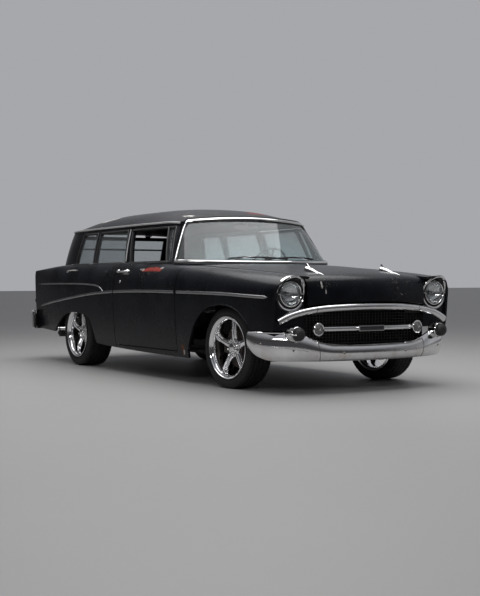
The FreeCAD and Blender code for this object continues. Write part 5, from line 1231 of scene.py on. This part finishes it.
# Dashboard: round gauges in a hooded cluster, a bright strip, a radio with its knobs, and a glovebox.
DASH_X = 0.676
GAUGES = ((0.38, 0.872, 0.062), (0.255, 0.862, 0.034), (0.505, 0.862, 0.034))
rims, dials = [], []
for y, z, r in GAUGES:
    rims.append(turned(((-0.004, r - 0.006), (-0.004, r), (0.01, r + 0.001), (0.014, r - 0.003),
        (0.01, r - 0.006)), (DASH_X, y, z), (-1, 0, 0.12), 40))
    dials.append(turned(((-0.004, 0), (-0.004, r - 0.004), (0.003, r - 0.006), (0.003, 0)),
        (DASH_X, y, z), (-1, 0, 0.12), 40))
long_strip = chunk((0.664, -0.64, 0.918), (0.672, 0.18, 0.926), 0.002)
radio_strip = chunk((0.66, -0.11, 0.845), (DASH_X, 0.11, 0.853), 0.003)
knob = turned(((0, 0), (0, 0.011), (0.016, 0.01), (0.02, 0.006), (0.02, 0)), (DASH_X, -0.075, 0.875),
    (-1, 0, 0.1), 20)
knobs = spread(row, knob, bright_trim, Count=3, Step=(0.0, 0.075, 0.0))
piece("dash_brightwork", joined(*rims, long_strip, radio_strip, knobs), bright_trim)
gauge_face = finish("gauge_face", plain((0.1, 0.1, 0.095), 0.2, 0.35, 80.0))
piece("gauge_faces", joined(*dials), gauge_face)
glovebox = chunk((0.664, -0.56, 0.815), (0.682, -0.25, 0.905), 0.004)
radio = chunk((0.662, -0.115, 0.855), (0.682, 0.115, 0.9), 0.004)
dash_panel = finish("dash_panel", plain((0.02, 0.021, 0.024), 0.2, 0.35))
piece("glovebox_and_radio", joined(glovebox, radio), dash_panel)


# Steering wheel: a horn ring on three stalks, and a chromed hub cap.
COLUMN = math.radians(25)
HORN_RADIUS = 0.11
WIRE = 0.0036
hub_at = Vector((0.44, 0.38, 0.985))
axis = Vector((-math.cos(COLUMN), 0, math.sin(COLUMN)))
level = Vector((0, 1, 0))
tall = axis.cross(level).normalized()


def on_ring(turn):
    return hub_at + axis * 0.012 + (level * math.cos(turn) + tall * math.sin(turn)) * HORN_RADIUS


wire = [(WIRE * math.cos(turn), WIRE * math.sin(turn)) for turn in turns(8)]
horn_ring = swept([on_ring(turn) for turn in turns(48)], [axis] * 48, wire, loop=True)
stalks = [tube([hub_at + axis * 0.02, on_ring(turn)], WIRE) for turn in (0.0, math.pi, math.pi / 2)]
hub_cap = turned(((0.018, 0), (0.018, 0.036), (0.028, 0.034), (0.036, 0.022), (0.039, 0)), hub_at, axis,
    32)
piece("horn_ring", joined(horn_ring, hub_cap, *stalks), chrome, "steering")


# Door cards: pleated vinyl panels with an armrest, a window crank and a pull handle.
ACROSS, UP = 60, 12
STRIDE = UP + 1
CARD_Y = 0.862
CRANK = ((-0.006, 0), (-0.006, 0.024), (0.01, 0.02), (0.022, 0.012), (0.022, 0))
KNOB = ((0, 0), (0, 0.01), (0.03, 0.012), (0.036, 0.008), (0.036, 0))
for hand, sign in HANDS:
    body = f"door_{hand}"
    tree = surface(body)
    points, faces = [], []
    for i in range(ACROSS + 1):
        for j in range(STRIDE):
            x = -0.165 + 1.04 * i / ACROSS
            z = 0.36 + 0.56 * j / UP
            hit = met(tree, (x, sign * 0.3, z), (0, sign, 0))
            pleat = 0.0035 * abs(math.sin(i * math.pi / 3)) if 2 < j < 8 else 0.0015
            points.append(Vector((x, (hit.y if hit else sign * 0.86) - sign * (0.004 + pleat), z)))
    count = len(points)
    points += [point + Vector((0, sign * 0.006, 0)) for point in points]
    for i in range(ACROSS):
        for j in range(UP):
            a = i * STRIDE + j
            quad = (a, a + 1, a + STRIDE + 1, a + STRIDE)
            faces += [quad, tuple(count + k for k in quad)]
    rim = [i * STRIDE for i in range(ACROSS + 1)] + [ACROSS * STRIDE + j for j in range(1, STRIDE)]
    rim += [i * STRIDE + UP for i in range(ACROSS - 1, -1, -1)] + list(range(UP - 1, 0, -1))
    faces += [(a, b, count + b, count + a) for a, b in zip(rim, rim[1:] + rim[:1])]
    piece(f"door_card_{hand}", (points, faces), bench_vinyl, body)
    y = sign * CARD_Y
    low_y, high_y = sorted((y, y - sign * 0.055))
    piece(f"armrest_{hand}", chunk((0.08, low_y, 0.655), (0.4, high_y, 0.7), 0.014), bench_vinyl, body)
    hub = turned(CRANK, (0.56, y, 0.72), (0, -sign, 0))
    arm = tube([(0.56, y - sign * 0.018, 0.72), (0.61, y - sign * 0.026, 0.69),
        (0.65, y - sign * 0.028, 0.66)], 0.006)
    grip = turned(KNOB, (0.65, y - sign * 0.024, 0.66), (0, -sign, 0), 16)
    pull = tube([(0.66, y, 0.8), (0.64, y - sign * 0.026, 0.8), (0.54, y - sign * 0.026, 0.8),
        (0.53, y, 0.8)], 0.006)
    piece(f"door_hardware_{hand}", joined(hub, arm, grip, pull), chrome, body)


# Finishes of the CAD nodes that need no further pieces.
dress("red_lens", finish("red_lens", plain((0.4, 0.008, 0.01), 0.08, 0.18, 60.0),
    Transmission_Weight=0.35))
dress("upholstery", bench_vinyl)
dress("wheel_alloy", polished)
dress("tyre", tyre_rubber)
